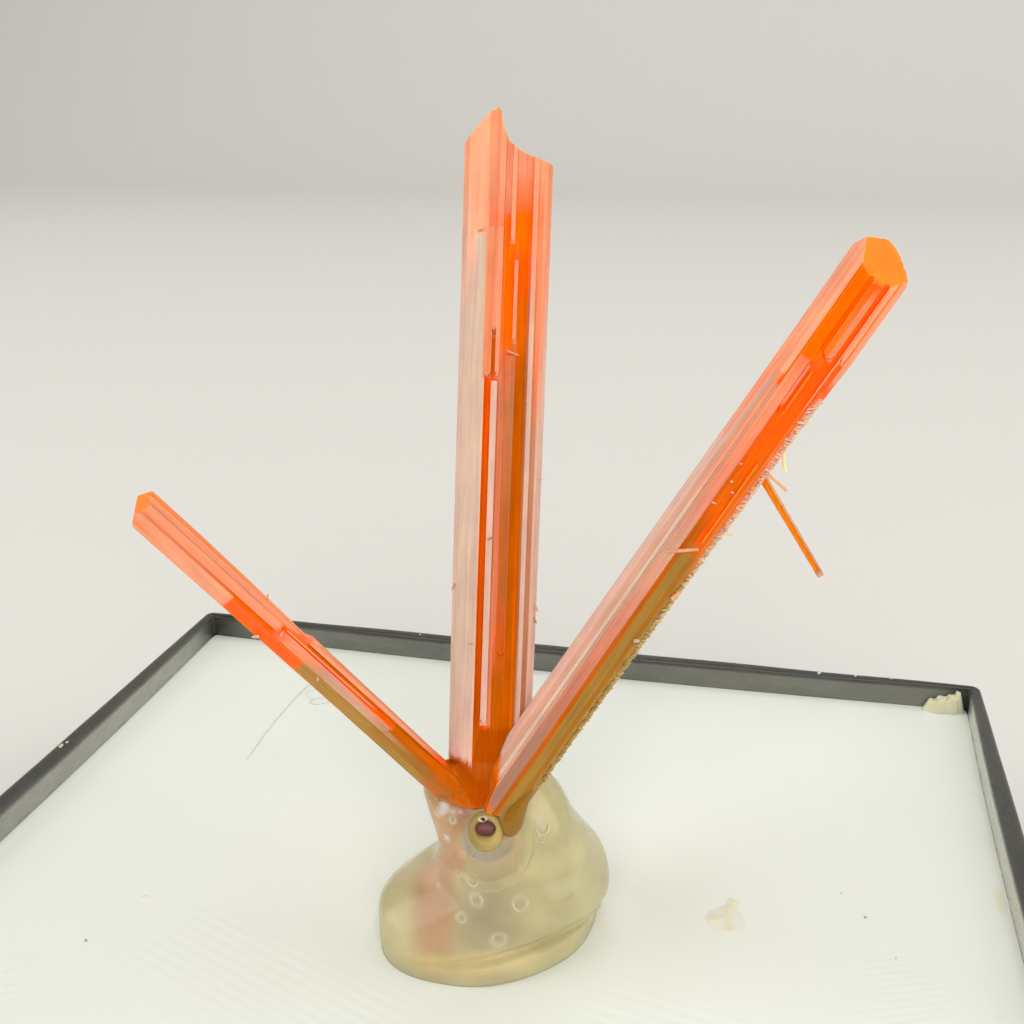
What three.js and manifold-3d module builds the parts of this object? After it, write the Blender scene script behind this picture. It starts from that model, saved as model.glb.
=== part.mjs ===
// A crocoite thumbnail specimen: three long prismatic crystals that fan out of one root,
// held in a dollop of set glue on the white insert of a black box base.
// Millimetres, +Z up. The origin is the middle of the underside of the box base.
import * as THREE from "three";
import { mergeVertices } from "three/addons/utils/BufferGeometryUtils.js";
import Module from "manifold-3d";

const wasm = await Module();
wasm.setup();

// ---------------------------------------------------------------- driving dimensions
const BASE_SIDE = 31.75; // the 1 1/4 inch square thumbnail box
const BASE_HEIGHT = 6.4;
const BASE_FLOOR = 1.5;
const BASE_CORNER = 0.9;
const BASE_EDGE = 0.15; // chamfer along the rim and the underside
const RIM_WIDTH = 0.55; // at the corners; the walls swell inwards between them
const RIM_SWELL = 0.3;
const RIM_STAND = 0.9; // how far the rim stands above the insert

const INSERT_FIT = 0.15; // gap all round between insert and wall
const INSERT_EDGE = 0.1;
const INSERT_TOP = BASE_HEIGHT - RIM_STAND;

const FRONT = new THREE.Vector3(0.2, -0.81, 0.55).normalize(); // the side the wide faces turn to
const POCKET_GAP = 0.12; // clearance between a crystal and the glue moulded round it

// Each crystal leaves the root at `root`, leans `lean` degrees off the vertical towards the
// compass bearing `bearing` (clockwise from +Y).
const CENTRAL = { root: [0.9, -1.55, 10.09], lean: 16.6, bearing: -5.9 };
const RIGHT = { root: [1.45, -1.82, 10.19], lean: 33.8, bearing: 66.9 };
const LEFT = { root: [0.35, -1.82, 10.28], lean: 43.7, bearing: -102.6 };
// Cross-sections, as [across, behind] pairs: across grows to the viewer's right, behind away
// from the viewer. They start at the left edge and run along the front first.
const CENTRAL_SECTION = [
  [-1.15, 0.05], [-0.98, -0.22], [-0.43, -0.66], [-0.38, -0.52], [-0.27, -0.5], [0.07, -0.57],
  [0.36, -0.48], [0.68, -0.36], [0.85, -0.28], [1.04, -0.16], [1.15, 0.05], [1.02, 0.42],
  [0.55, 0.8], [0.05, 0.92], [-0.45, 0.82], [-0.95, 0.45],
];
const RIGHT_SECTION = [
  [-0.94, 0.0], [-0.75, -0.32], [-0.46, -0.6], [-0.17, -0.66], [-0.13, -0.57], [0.2, -0.42],
  [0.33, -0.33], [0.48, 0.0], [0.4, 0.38], [0.0, 0.62], [-0.5, 0.55], [-0.86, 0.3],
];
const RIGHT_WING = [
  [0.05, -0.46], [0.24, -0.49], [0.27, -0.36], [0.54, -0.22], [0.69, 0.06], [0.55, 0.4], [0.0, 0.5],
];
const LEFT_SECTION = [
  [-0.46, 0.05], [-0.12, -0.38], [0.16, -0.4], [0.4, -0.22], [0.46, 0.05], [0.25, 0.38],
  [-0.15, 0.42], [-0.4, 0.28],
];

// Parallel-growth ridges that stand on a front face: left and right edge, how far in front
// those edges lie, and where along the crystal the ridge starts and ends.
const CENTRAL_RIDGES = [
  { left: -0.25, right: -0.07, rise: [0.71, 0.73], from: 1.9, to: 10.9 },
  { left: 0.08, right: 0.33, rise: [0.71, 0.61], from: 3.9, to: 11.5 },
  { left: 0.7, right: 0.82, rise: [0.47, 0.43], from: 0.4, to: 17.4 },
  { left: -0.47, right: -0.26, rise: [0.7, 0.68], from: 10.9, to: 18.4 },
  { left: -0.16, right: -0.03, rise: [0.68, 0.68], from: 11.3, to: 18.4 },
  { left: 0.23, right: 0.34, rise: [0.64, 0.6], from: 11.8, to: 14.0 },
  { left: 0.13, right: 0.24, rise: [0.67, 0.64], from: 14.4, to: 16.9 },
];
const RIGHT_RIDGES = [
  { left: -0.6, right: -0.46, rise: [0.56, 0.68], from: 0.6, to: 14.2 },
  { left: -0.43, right: -0.17, rise: [0.69, 0.74], from: 0.3, to: 13.6 },
  { left: -0.05, right: 0.25, rise: [0.61, 0.47], from: 13.8, to: 16.0 },
  { left: 0.38, right: 0.52, rise: [0.38, 0.29], from: 10.4, to: 15.9 },
];
const LEFT_RIDGES = [
  { left: -0.1, right: 0.12, rise: [0.43, 0.45], from: 0.5, to: 6.1 },
  { left: 0.16, right: 0.36, rise: [0.48, 0.34], from: 1.5, to: 5.5 },
];

// The upper ends, as the outline seen from the front: [across, along] pairs.
const CENTRAL_BREAK = [
  [-1.3, 16.9], [-1.11, 17.0], [-1.01, 17.2], [-0.49, 17.72], [-0.24, 17.88], [-0.16, 17.8],
  [-0.13, 17.5], [0.02, 17.1], [0.28, 16.88], [0.7, 16.7], [1.3, 16.4],
];
const RIGHT_END = [
  [-1.1, 16.05], [-0.94, 16.3], [-0.86, 16.54], [-0.75, 16.72], [-0.3, 16.97], [-0.08, 16.92],
  [0.19, 16.8], [0.6, 16.49], [0.69, 16.3], [0.9, 15.9],
];
const LEFT_END = [
  [-0.7, 10.7], [-0.46, 10.95], [-0.22, 11.18], [0.0, 11.3], [0.14, 11.32], [0.45, 11.14], [0.7, 10.9],
];

// The lower ends, where the crystals run together: outlines in the same pairs.
const CENTRAL_FOOT = [[-1.4, 1.35], [-0.7, 0.75], [-0.1, 0.3], [0.35, 0.2], [1.4, 0.2]];
const RIGHT_FOOT = [[-1.2, 0.1], [-0.4, -0.1], [0.2, -0.5], [0.45, -0.6], [0.8, -0.35]];
const LEFT_FOOT = [[-0.8, 0.75], [-0.3, 0.3], [0.1, -0.1], [0.8, -0.1]];

// Crust of small crystals along the lower right edge of the right crystal.
const CRUST_COUNT = 42;
const CRUST_FROM = 4.1;
const CRUST_TO = 13.0;

// Needles on the right crystal: foot and tip as [across, behind, along], and their width.
const NEEDLES = [
  { foot: [0.4, 0.0, 10.7], tip: [2.96, -0.15, 9.5], width: 0.23 },
  { foot: [0.45, -0.1, 10.75], tip: [1.2, -0.2, 10.55], width: 0.09 },
  { foot: [0.48, 0.1, 11.4], tip: [0.87, 0.0, 10.9], width: 0.13 },
  { foot: [-0.08, -0.54, 7.8], tip: [0.38, -0.55, 8.25], width: 0.1 },
  { foot: [0.4, -0.05, 8.75], tip: [0.75, -0.15, 8.95], width: 0.1 },
];

// The glue dollop, section by section: height above the insert, then how far it reaches to
// the left, right, front and back.
const GLUE_SECTIONS = [
  [0.0, -2.3, 3.75, -3.3, 2.1],
  [0.5, -2.5, 3.98, -3.3, 2.2],
  [1.1, -2.45, 4.12, -3.2, 2.2],
  [1.6, -2.15, 4.15, -3.02, 2.15],
  [2.1, -1.55, 4.08, -2.86, 2.05],
  [2.7, -0.98, 3.92, -2.7, 1.9],
  [3.4, -0.82, 3.62, -2.5, 1.65],
  [4.0, -0.92, 3.28, -2.3, 1.35],
  [4.5, -1.0, 2.95, -2.02, 1.0],
  [4.9, -0.45, 2.6, -1.5, 0.65],
  [5.25, 0.6, 2.25, -0.95, 0.25],
];
const GLUE_CROWN = [1.6, -0.4, 5.4]; // topmost point, its height above the insert last
const GLUE_LUMPS = 0.07;
const FOOT_MIDDLE = [1.15, -0.85];
const FOOT_RADIUS = 2.72;
const FOOT_THICKNESS = 0.55;
const ROOT_AT = [0.8, -1.0];
const ROOT_FOOT = 2.3; // height above the insert of the flat seat under the crystal root
const ROOT_HEIGHT = 2.9;
const ROOT_WIDTH = 0.7;

// The glue nipple drawn over the stub of a fourth, broken crystal, with the hollow in its end.
const NIPPLE_FROM = [0.92, -1.55, 9.15];
const NIPPLE_TO = [1.1, -2.55, 9.83];
const NIPPLE_RADIUS = 0.47;
const HOLLOW_RADIUS = 0.26;
const HOLLOW_DEPTH = 0.3;
const HOLLOW_LIFT = 0.1;

const DOT_AT = [7.32, 1.21];
const DOT_RADIUS = 0.52;
const DOT_HEIGHT = 0.17;
const CORNER_AT = 14.3;
const CORNER_LENGTH = 1.6;
const CORNER_HEIGHT = 0.62;
const CORNER_DEPTH = 0.42;

const ORANGE = new THREE.MeshStandardMaterial({ color: 0xf0641e, roughness: 0.2, metalness: 0 });
const GLUE = new THREE.MeshStandardMaterial({ color: 0xc8be8c, roughness: 0.3, metalness: 0 });
const DRY_GLUE = new THREE.MeshStandardMaterial({ color: 0xe8e4c0, roughness: 0.45, metalness: 0 });
const WHITE = new THREE.MeshStandardMaterial({ color: 0xebede1, roughness: 0.6, metalness: 0 });
const BLACK = new THREE.MeshStandardMaterial({ color: 0x22231f, roughness: 0.2, metalness: 0 });

// ---------------------------------------------------------------- solids
function solidOf(geometry) {
  const bare = geometry.clone();
  bare.deleteAttribute("normal");
  bare.deleteAttribute("uv");
  const merged = mergeVertices(bare, 1e-5);
  return new wasm.Manifold(
    new wasm.Mesh({
      numProp: 3,
      vertProperties: merged.attributes.position.array,
      triVerts: new Uint32Array(merged.index.array),
    }),
  );
}

function geometryOf(solid) {
  const mesh = solid.getMesh();
  const geometry = new THREE.BufferGeometry();
  geometry.setAttribute("position", new THREE.BufferAttribute(mesh.vertProperties, 3));
  geometry.setIndex(new THREE.BufferAttribute(mesh.triVerts, 1));
  geometry.computeVertexNormals();
  return geometry;
}

function meshOf(name, solid, material) {
  const mesh = new THREE.Mesh(geometryOf(solid), material);
  mesh.name = name;
  return mesh;
}

function shapeOf(points) {
  return new THREE.Shape(points.map(([x, y]) => new THREE.Vector2(x, y)));
}

// The turn that carries a shape standing on +Y over to the direction of `line`.
function turnTo(line) {
  return new THREE.Quaternion().setFromUnitVectors(new THREE.Vector3(0, 1, 0), line.clone().normalize());
}

// A number from 0 to 1 that depends only on its index.
function scatter(index) {
  const wave = Math.sin(index * 12.9898) * 43758.5453;
  return wave - Math.floor(wave);
}

// ---------------------------------------------------------------- crystals
// The crystal's own frame: x across its front, y behind it, z along it from the root.
function crystalFrame({ root, lean, bearing }) {
  const tilt = THREE.MathUtils.degToRad(lean);
  const turn = THREE.MathUtils.degToRad(bearing);
  const along = new THREE.Vector3(
    Math.sin(tilt) * Math.sin(turn),
    Math.sin(tilt) * Math.cos(turn),
    Math.cos(tilt),
  );
  const front = FRONT.clone().addScaledVector(along, -FRONT.dot(along)).normalize();
  const across = new THREE.Vector3().crossVectors(along, front);
  const frame = new THREE.Matrix4().makeBasis(across, front.negate(), along);
  return frame.setPosition(...root);
}

function prism(section, from, to) {
  const geometry = new THREE.ExtrudeGeometry(shapeOf(section), {
    depth: to - from,
    bevelEnabled: false,
  });
  return solidOf(geometry.translate(0, 0, from));
}

// Grows a section outwards from its middle by `gap` on every side.
function grown(section, gap) {
  const corners = section.map(([x, y]) => new THREE.Vector2(x, y));
  const sum = corners.reduce((total, corner) => total.add(corner), new THREE.Vector2());
  const middle = sum.divideScalar(corners.length);
  return corners.map((corner) => {
    const arm = corner.clone().sub(middle);
    return arm.setLength(arm.length() + 1.3 * gap).add(middle).toArray();
  });
}

// A ridge's upper end slopes back into the face, its lower end runs out to a point.
function ridge({ left, right, rise, from, to }) {
  const inside = -0.2;
  const taper = 0.25;
  const past = 0.05;
  const body = prism([[left, inside], [left, -rise[0]], [right, -rise[1]], [right, inside]], from, to);
  const notch = shapeOf([
    [left - past, from - past],
    [right + past, from - past],
    [right + past, from + taper],
    [(left + right) / 2, from],
    [left - past, from + taper],
  ]);
  return body.subtract(cutter(notch));
}

// A flat outline in the [across, along] plane, carried straight through the crystal.
function cutter(outline) {
  const geometry = new THREE.ExtrudeGeometry(outline, { depth: 6, bevelEnabled: false });
  geometry.translate(0, 0, -3);
  return solidOf(geometry.rotateX(Math.PI / 2));
}

// What lies past an end outline, out to `limit`, to be cut away.
function beyond(end, limit) {
  return cutter(shapeOf([...end, [end.at(-1)[0], limit], [end[0][0], limit]]));
}

// Bevels the front edge of an end, as the sloping end face does on a crocoite prism.
function frontBevel(height, depth) {
  const wedge = shapeOf([
    [-3, height - 0.4],
    [-depth, height - 0.4],
    [0, height + 0.35],
    [0, height + 3],
    [-3, height + 3],
  ]);
  const geometry = new THREE.ExtrudeGeometry(wedge, { depth: 4, bevelEnabled: false });
  geometry.translate(0, 0, -2);
  const turn = new THREE.Matrix4().makeBasis(
    new THREE.Vector3(0, 1, 0),
    new THREE.Vector3(0, 0, 1),
    new THREE.Vector3(1, 0, 0),
  );
  return solidOf(geometry.applyMatrix4(turn));
}

function crystal(section, ridges, foot, end) {
  const core = prism(section, -1, end[3][1] + 1);
  const whole = ridges.map(ridge).reduce((sum, r) => sum.add(r), core);
  return whole.subtract(beyond(end, 25)).subtract(beyond(foot, -5));
}

// A four-sided needle between two points of a crystal's frame.
function needle({ foot, tip, width }) {
  const start = new THREE.Vector3(...foot);
  const line = new THREE.Vector3(...tip).sub(start);
  const length = line.length();
  const geometry = new THREE.CylinderGeometry(width * 0.42, width * 0.55, length, 4, 1);
  geometry.translate(0, length / 2, 0);
  geometry.applyQuaternion(turnTo(line));
  return solidOf(geometry.translate(start.x, start.y, start.z));
}

// Short stubby needles of scattered size, feet inside the crystal's lower right edge.
function crust() {
  let grains = null;
  for (let i = 0; i < CRUST_COUNT; i += 1) {
    const along = CRUST_FROM + ((CRUST_TO - CRUST_FROM) * (i + 0.6 * scatter(i))) / CRUST_COUNT;
    const reach = 0.05 + 0.13 * scatter(i + 100);
    const edge = along < 8.5 ? 0.47 : 0.6;
    const grain = needle({
      foot: [edge - 0.2, -0.1 + 0.35 * scatter(i + 200), along - 0.1],
      tip: [edge + reach, -0.2 + 0.45 * scatter(i + 300), along + 0.15 * scatter(i + 400)],
      width: 0.16 + 0.12 * scatter(i + 500),
    });
    grains = grains ? grains.add(grain) : grain;
  }
  return grains;
}

// The tapering root that all three crystals grow from, ending flat in the glue.
function rootStub(gap) {
  const height = ROOT_HEIGHT + gap;
  const geometry = new THREE.CylinderGeometry(ROOT_WIDTH + gap, ROOT_WIDTH * 0.8 + gap, height, 7, 1);
  geometry.rotateX(Math.PI / 2);
  const seat = INSERT_TOP + ROOT_FOOT - gap + height / 2;
  return solidOf(geometry.translate(ROOT_AT[0], ROOT_AT[1], seat));
}

function crystals() {
  const central = crystal(CENTRAL_SECTION, CENTRAL_RIDGES, CENTRAL_FOOT, CENTRAL_BREAK);
  const wing = prism(RIGHT_WING, 8.2, 18).subtract(beyond(RIGHT_END, 25));
  const right = crystal(RIGHT_SECTION, RIGHT_RIDGES, RIGHT_FOOT, RIGHT_END).add(wing)
    .subtract(frontBevel(16.4, 0.5))
    .add(NEEDLES.map(needle).reduce((sum, n) => sum.add(n)))
    .add(crust());
  const left = crystal(LEFT_SECTION, LEFT_RIDGES, LEFT_FOOT, LEFT_END).subtract(frontBevel(10.95, 0.28));
  return central.transform(crystalFrame(CENTRAL).elements)
    .add(right.transform(crystalFrame(RIGHT).elements))
    .add(left.transform(crystalFrame(LEFT).elements))
    .add(rootStub(0));
}

// The room that the glue leaves for the crystals and their root.
function pocket() {
  const parts = [
    [CENTRAL, CENTRAL_SECTION, CENTRAL_FOOT],
    [RIGHT, RIGHT_SECTION, RIGHT_FOOT],
    [LEFT, LEFT_SECTION, LEFT_FOOT],
  ];
  const rooms = parts.map(([place, section, foot]) => {
    const lowered = foot.map(([x, z]) => [x, z - 1.3 * POCKET_GAP]);
    const room = prism(grown(section, POCKET_GAP), -1.5, 5).subtract(beyond(lowered, -5));
    return room.transform(crystalFrame(place).elements);
  });
  return rooms.reduce((sum, room) => sum.add(room), rootStub(POCKET_GAP));
}

// ---------------------------------------------------------------- glue
// A closed skin over rings of points: each ring is an oval that reaches the section's four
// sides, made a little lumpy by slow waves round it.
function gluePile() {
  const around = 40;
  const frontLeft = GLUE_SECTIONS.map(([z, left, , front]) => new THREE.Vector3(left, front, z));
  const backRight = GLUE_SECTIONS.map(([z, , right, , back]) => new THREE.Vector3(right, back, z));
  const lowCurve = new THREE.CatmullRomCurve3(frontLeft);
  const highCurve = new THREE.CatmullRomCurve3(backRight);
  const levels = 2 * (GLUE_SECTIONS.length - 1);
  const points = [];
  for (let k = 0; k <= levels; k += 1) {
    const low = lowCurve.getPoint(k / levels);
    const high = highCurve.getPoint(k / levels);
    for (let i = 0; i < around; i += 1) {
      const angle = (2 * Math.PI * i) / around;
      const wave = GLUE_LUMPS * Math.sin(3 * angle + 0.7 * k) * Math.sin((Math.PI * k) / levels);
      const x = (low.x + high.x) / 2 + ((high.x - low.x) / 2 + wave) * Math.cos(angle);
      const y = (low.y + high.y) / 2 + ((high.y - low.y) / 2 + wave) * Math.sin(angle);
      points.push(x, y, INSERT_TOP + (low.z + high.z) / 2);
    }
  }
  const faces = [];
  for (let k = 0; k < levels; k += 1) {
    for (let i = 0; i < around; i += 1) {
      const next = (i + 1) % around;
      const ring = k * around;
      faces.push(ring + i, ring + next, ring + around + next);
      faces.push(ring + i, ring + around + next, ring + around + i);
    }
  }
  const bottom = points.length / 3;
  points.push((GLUE_SECTIONS[0][1] + GLUE_SECTIONS[0][2]) / 2, -0.6, INSERT_TOP);
  points.push(GLUE_CROWN[0], GLUE_CROWN[1], INSERT_TOP + GLUE_CROWN[2]);
  for (let i = 0; i < around; i += 1) {
    const next = (i + 1) % around;
    faces.push(bottom, next, i);
    faces.push(bottom + 1, levels * around + i, levels * around + next);
  }
  const geometry = new THREE.BufferGeometry();
  geometry.setAttribute("position", new THREE.Float32BufferAttribute(points, 3));
  geometry.setIndex(faces);
  return solidOf(geometry);
}

// The thin foot that the glue spread into before the dollop was set on it.
function glueFoot() {
  const rim = FOOT_THICKNESS / 2;
  const profile = [
    new THREE.Vector2(0, 0),
    new THREE.Vector2(FOOT_RADIUS - 0.12, 0),
    new THREE.Vector2(FOOT_RADIUS, rim * 0.7),
    new THREE.Vector2(FOOT_RADIUS - 0.05, rim * 1.4),
    new THREE.Vector2(FOOT_RADIUS - 0.2, FOOT_THICKNESS),
    new THREE.Vector2(0, FOOT_THICKNESS),
  ];
  const geometry = new THREE.LatheGeometry(profile, 40);
  geometry.rotateX(Math.PI / 2);
  geometry.scale(1, 0.93, 1);
  return solidOf(geometry.translate(FOOT_MIDDLE[0], FOOT_MIDDLE[1], INSERT_TOP));
}

// A rod with a rounded end between two points, used for the nipple and for its hollow.
function rod(from, to, radius, round) {
  const start = new THREE.Vector3(...from);
  const line = new THREE.Vector3(...to).sub(start);
  const length = line.length();
  const profile = [
    new THREE.Vector2(0, 0),
    new THREE.Vector2(radius, 0),
    new THREE.Vector2(radius, length - round),
    new THREE.Vector2(radius - 0.3 * round, length - 0.3 * round),
    new THREE.Vector2(radius - round, length),
    new THREE.Vector2(0, length),
  ];
  const geometry = new THREE.LatheGeometry(profile, 18);
  geometry.applyQuaternion(turnTo(line));
  return solidOf(geometry.translate(start.x, start.y, start.z));
}

function mountingGlue() {
  const nipple = rod(NIPPLE_FROM, NIPPLE_TO, NIPPLE_RADIUS, 0.12);
  const out = new THREE.Vector3(...NIPPLE_TO).sub(new THREE.Vector3(...NIPPLE_FROM)).normalize();
  const mouth = new THREE.Vector3(...NIPPLE_TO).add(new THREE.Vector3(0, 0, HOLLOW_LIFT));
  const start = mouth.clone().addScaledVector(out, -HOLLOW_DEPTH);
  const hollow = rod(start.toArray(), mouth.addScaledVector(out, 0.5).toArray(), HOLLOW_RADIUS, 0.05);
  return gluePile().add(glueFoot()).subtract(pocket()).add(nipple.subtract(pocket())).subtract(hollow);
}

// A low round lump of glue on a flat surface, its edge pulled in and out by waves.
function lump(radius, height, waviness) {
  const profile = [];
  const steps = 6;
  profile.push(new THREE.Vector2(0, 0));
  for (let i = 0; i <= steps; i += 1) {
    const angle = (Math.PI / 2) * (i / steps);
    profile.push(new THREE.Vector2(i === steps ? 0 : radius * Math.cos(angle), height * Math.sin(angle)));
  }
  const geometry = new THREE.LatheGeometry(profile, 28);
  geometry.rotateX(Math.PI / 2);
  const place = geometry.attributes.position;
  for (let i = 0; i < place.count; i += 1) {
    const angle = Math.atan2(place.getY(i), place.getX(i));
    const pull = 1 + waviness * (Math.sin(3 * angle) + 0.6 * Math.sin(7 * angle + 1));
    place.setXY(i, place.getX(i) * pull, place.getY(i) * pull);
  }
  return geometry;
}

// ---------------------------------------------------------------- box base
// A square with round corners whose sides swell inwards by `swell` at their middles.
function squareShape(half, corner, swell) {
  const shape = new THREE.Shape();
  const run = half - corner;
  shape.moveTo(-run, -half);
  shape.quadraticCurveTo(0, -half + 2 * swell, run, -half);
  shape.quadraticCurveTo(half, -half, half, -run);
  shape.quadraticCurveTo(half - 2 * swell, 0, half, run);
  shape.quadraticCurveTo(half, half, run, half);
  shape.quadraticCurveTo(0, half - 2 * swell, -run, half);
  shape.quadraticCurveTo(-half, half, -half, run);
  shape.quadraticCurveTo(-half + 2 * swell, 0, -half, -run);
  shape.quadraticCurveTo(-half, -half, -run, -half);
  return shape;
}

function slab(shape, thickness, edge) {
  const geometry = new THREE.ExtrudeGeometry(shape, {
    depth: thickness - 2 * edge,
    bevelEnabled: edge > 0,
    bevelThickness: edge,
    bevelSize: edge,
    bevelOffset: -edge,
    bevelSegments: 1,
    curveSegments: 8,
  });
  return solidOf(geometry.translate(0, 0, edge));
}

function baseTray() {
  const outer = slab(squareShape(BASE_SIDE / 2, BASE_CORNER, 0), BASE_HEIGHT, BASE_EDGE);
  const hollow = slab(squareShape(BASE_SIDE / 2 - RIM_WIDTH, BASE_CORNER, RIM_SWELL), BASE_HEIGHT, 0);
  return outer.subtract(hollow.translate(0, 0, BASE_FLOOR));
}

function baseInsert() {
  const half = BASE_SIDE / 2 - RIM_WIDTH - INSERT_FIT;
  const plate = slab(squareShape(half, BASE_CORNER, RIM_SWELL), INSERT_TOP - BASE_FLOOR, INSERT_EDGE);
  return plate.translate(0, 0, BASE_FLOOR);
}

// A crumb of dried glue on the insert, pushed into the corner against the back wall.
function cornerGlue() {
  const geometry = lump(1, CORNER_HEIGHT, 0.06);
  geometry.scale(CORNER_LENGTH / 2, CORNER_DEPTH, 1);
  const wall = BASE_SIDE / 2 - RIM_WIDTH - 0.45 * RIM_SWELL;
  return solidOf(geometry.translate(CORNER_AT, wall - CORNER_DEPTH, INSERT_TOP));
}

const dot = solidOf(lump(DOT_RADIUS, DOT_HEIGHT, 0.07).translate(DOT_AT[0], DOT_AT[1], INSERT_TOP));

const specimen = new THREE.Group();
specimen.add(meshOf("crocoite_crystals", crystals(), ORANGE));
specimen.add(meshOf("mounting_glue", mountingGlue(), GLUE));

const box = new THREE.Group();
box.add(meshOf("base_tray", baseTray(), BLACK));
box.add(meshOf("base_insert", baseInsert(), WHITE));
box.add(meshOf("glue_dot", dot, DRY_GLUE));
box.add(meshOf("corner_glue", cornerGlue(), DRY_GLUE));

const part = new THREE.Group();
part.add(specimen, box);

export default part;
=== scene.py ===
"""A crocoite thumbnail specimen: three orange crystals grown from one root, set in a dollop of
glue on the white insert of a black box base. Lengths are written in millimetres and turned into
Blender's metres where a mesh is made."""

import math

import bpy
import numpy as np
from mathutils import Matrix


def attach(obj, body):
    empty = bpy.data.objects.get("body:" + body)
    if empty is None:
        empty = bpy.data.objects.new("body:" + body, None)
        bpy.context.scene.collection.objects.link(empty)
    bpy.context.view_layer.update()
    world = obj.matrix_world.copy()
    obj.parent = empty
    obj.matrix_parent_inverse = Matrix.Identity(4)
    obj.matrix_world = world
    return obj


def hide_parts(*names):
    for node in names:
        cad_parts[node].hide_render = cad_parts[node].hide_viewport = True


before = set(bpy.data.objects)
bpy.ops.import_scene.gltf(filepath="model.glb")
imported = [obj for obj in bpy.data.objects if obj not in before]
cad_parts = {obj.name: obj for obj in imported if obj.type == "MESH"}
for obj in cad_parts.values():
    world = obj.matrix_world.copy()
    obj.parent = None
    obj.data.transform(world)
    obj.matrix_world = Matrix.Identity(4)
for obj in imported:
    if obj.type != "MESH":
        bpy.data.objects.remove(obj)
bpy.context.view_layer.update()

MM = 0.001


# ---------------------------------------------------------------- camera, light and floor
# A plain pale sweep under soft studio light. Large diffusers stand on both sides and overhead.
# The fill from the front casts no reflections, so faces turned aside shine pale and those
# turned forward stay deep.
CAMERA_AT = (7.6, -28.3, 27.65)
CAMERA_PITCH = 19.1  # degrees below the horizon
CAMERA_HEADING = 12.7  # degrees to the left of +Y
CAMERA_LENS = 42.54  # for a 36 mm sensor

camera_data = bpy.data.cameras.new("camera")
camera_data.lens = CAMERA_LENS
camera_data.sensor_width = 36
camera_data.clip_start = 0.001
camera_data.clip_end = 10
camera = bpy.data.objects.new("camera", camera_data)
camera.location = [c * MM for c in CAMERA_AT]
camera.rotation_euler = (math.radians(90 - CAMERA_PITCH), 0, math.radians(CAMERA_HEADING))
bpy.context.scene.collection.objects.link(camera)
bpy.context.scene.camera = camera

bpy.context.scene.view_settings.view_transform = "Standard"
bpy.context.scene.cycles.transparent_max_bounces = 16
bpy.context.scene.cycles.sample_clamp_indirect = 6

world = bpy.data.worlds.new("studio")
bpy.context.scene.world = world
world.use_nodes = True
nodes, links = world.node_tree.nodes, world.node_tree.links
background = nodes["Background"]
background.inputs["Color"].default_value = (1.0, 0.985, 0.95, 1)
# Past the floor the room shows pale, though it gives little light.
SEEN_STRENGTH = 0.7
LIGHT_STRENGTH = 0.1
seen = nodes.new("ShaderNodeLightPath")
strength = nodes.new("ShaderNodeMix")
strength.inputs["A"].default_value = LIGHT_STRENGTH
strength.inputs["B"].default_value = SEEN_STRENGTH
links.new(seen.outputs["Is Camera Ray"], strength.inputs["Factor"])
links.new(strength.outputs["Result"], background.inputs["Strength"])

# The diffusers' places and sizes are in metres.
LIGHT_MIDDLE = np.array([0, 0, 0.015])
LIGHT_DISTANCE = 0.6


def softbox(name, aim, width, height, radiance, colour):
    """A diffuser seen from the specimen towards `aim`, facing it. The power is what gives a
    rectangle that radiance: radiance times area times pi."""
    light = bpy.data.lights.new(name, "AREA")
    light.shape = "RECTANGLE"
    light.size = width
    light.size_y = height
    light.energy = radiance * width * height * math.pi
    light.color = colour
    box = bpy.data.objects.new(name, light)
    away = np.array(aim) / np.linalg.norm(aim)
    box.location = LIGHT_MIDDLE + away * LIGHT_DISTANCE
    side = np.cross([0, 0, 1], away)
    side = side / np.linalg.norm(side)
    turn = np.array([side, np.cross(away, side), away]).T
    box.rotation_euler = Matrix(turn.tolist()).to_euler()
    box.visible_camera = False
    bpy.context.scene.collection.objects.link(box)
    return box


softbox("diffuser_left", (-0.9, -0.36, 0.42), 0.55, 0.62, 2.0, (1.0, 0.98, 0.95))
softbox("diffuser_right", (0.95, 0.1, 0.36), 0.5, 0.5, 2.0, (1.0, 0.98, 0.95))
softbox("diffuser_top", (0.02, 0.25, 1.0), 0.5, 0.5, 1.7, (1.0, 0.99, 0.97))
front_fill = softbox("front_fill", (0.25, -1.0, 0.55), 0.5, 0.5, 4.0, (1.0, 0.97, 0.92))
front_fill.visible_glossy = False


def joined_grid(points, wrap):
    """Quads of a grid of points, row by row, whose last column meets the first where it wraps."""
    rows, columns = points.shape[:2]
    here = np.arange(rows * columns).reshape(rows, columns)
    right = np.roll(here, -1, axis=1)
    last = columns if wrap else columns - 1
    return np.stack([here[:-1], right[:-1], right[1:], here[1:]], axis=2)[:, :last].reshape(-1, 4)


def new_piece(name, points, faces, material):
    """A mesh object at the origin from points in millimetres, blocks of faces, each an array
    with a row of point numbers for every face, and a material."""
    mesh = bpy.data.meshes.new(name)
    corners = [face for block in faces for face in block.tolist()]
    mesh.from_pydata((np.asarray(points) * MM).tolist(), [], corners)
    mesh.update()
    mesh.materials.append(material)
    piece = bpy.data.objects.new(name, mesh)
    bpy.context.scene.collection.objects.link(piece)
    return piece


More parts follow.
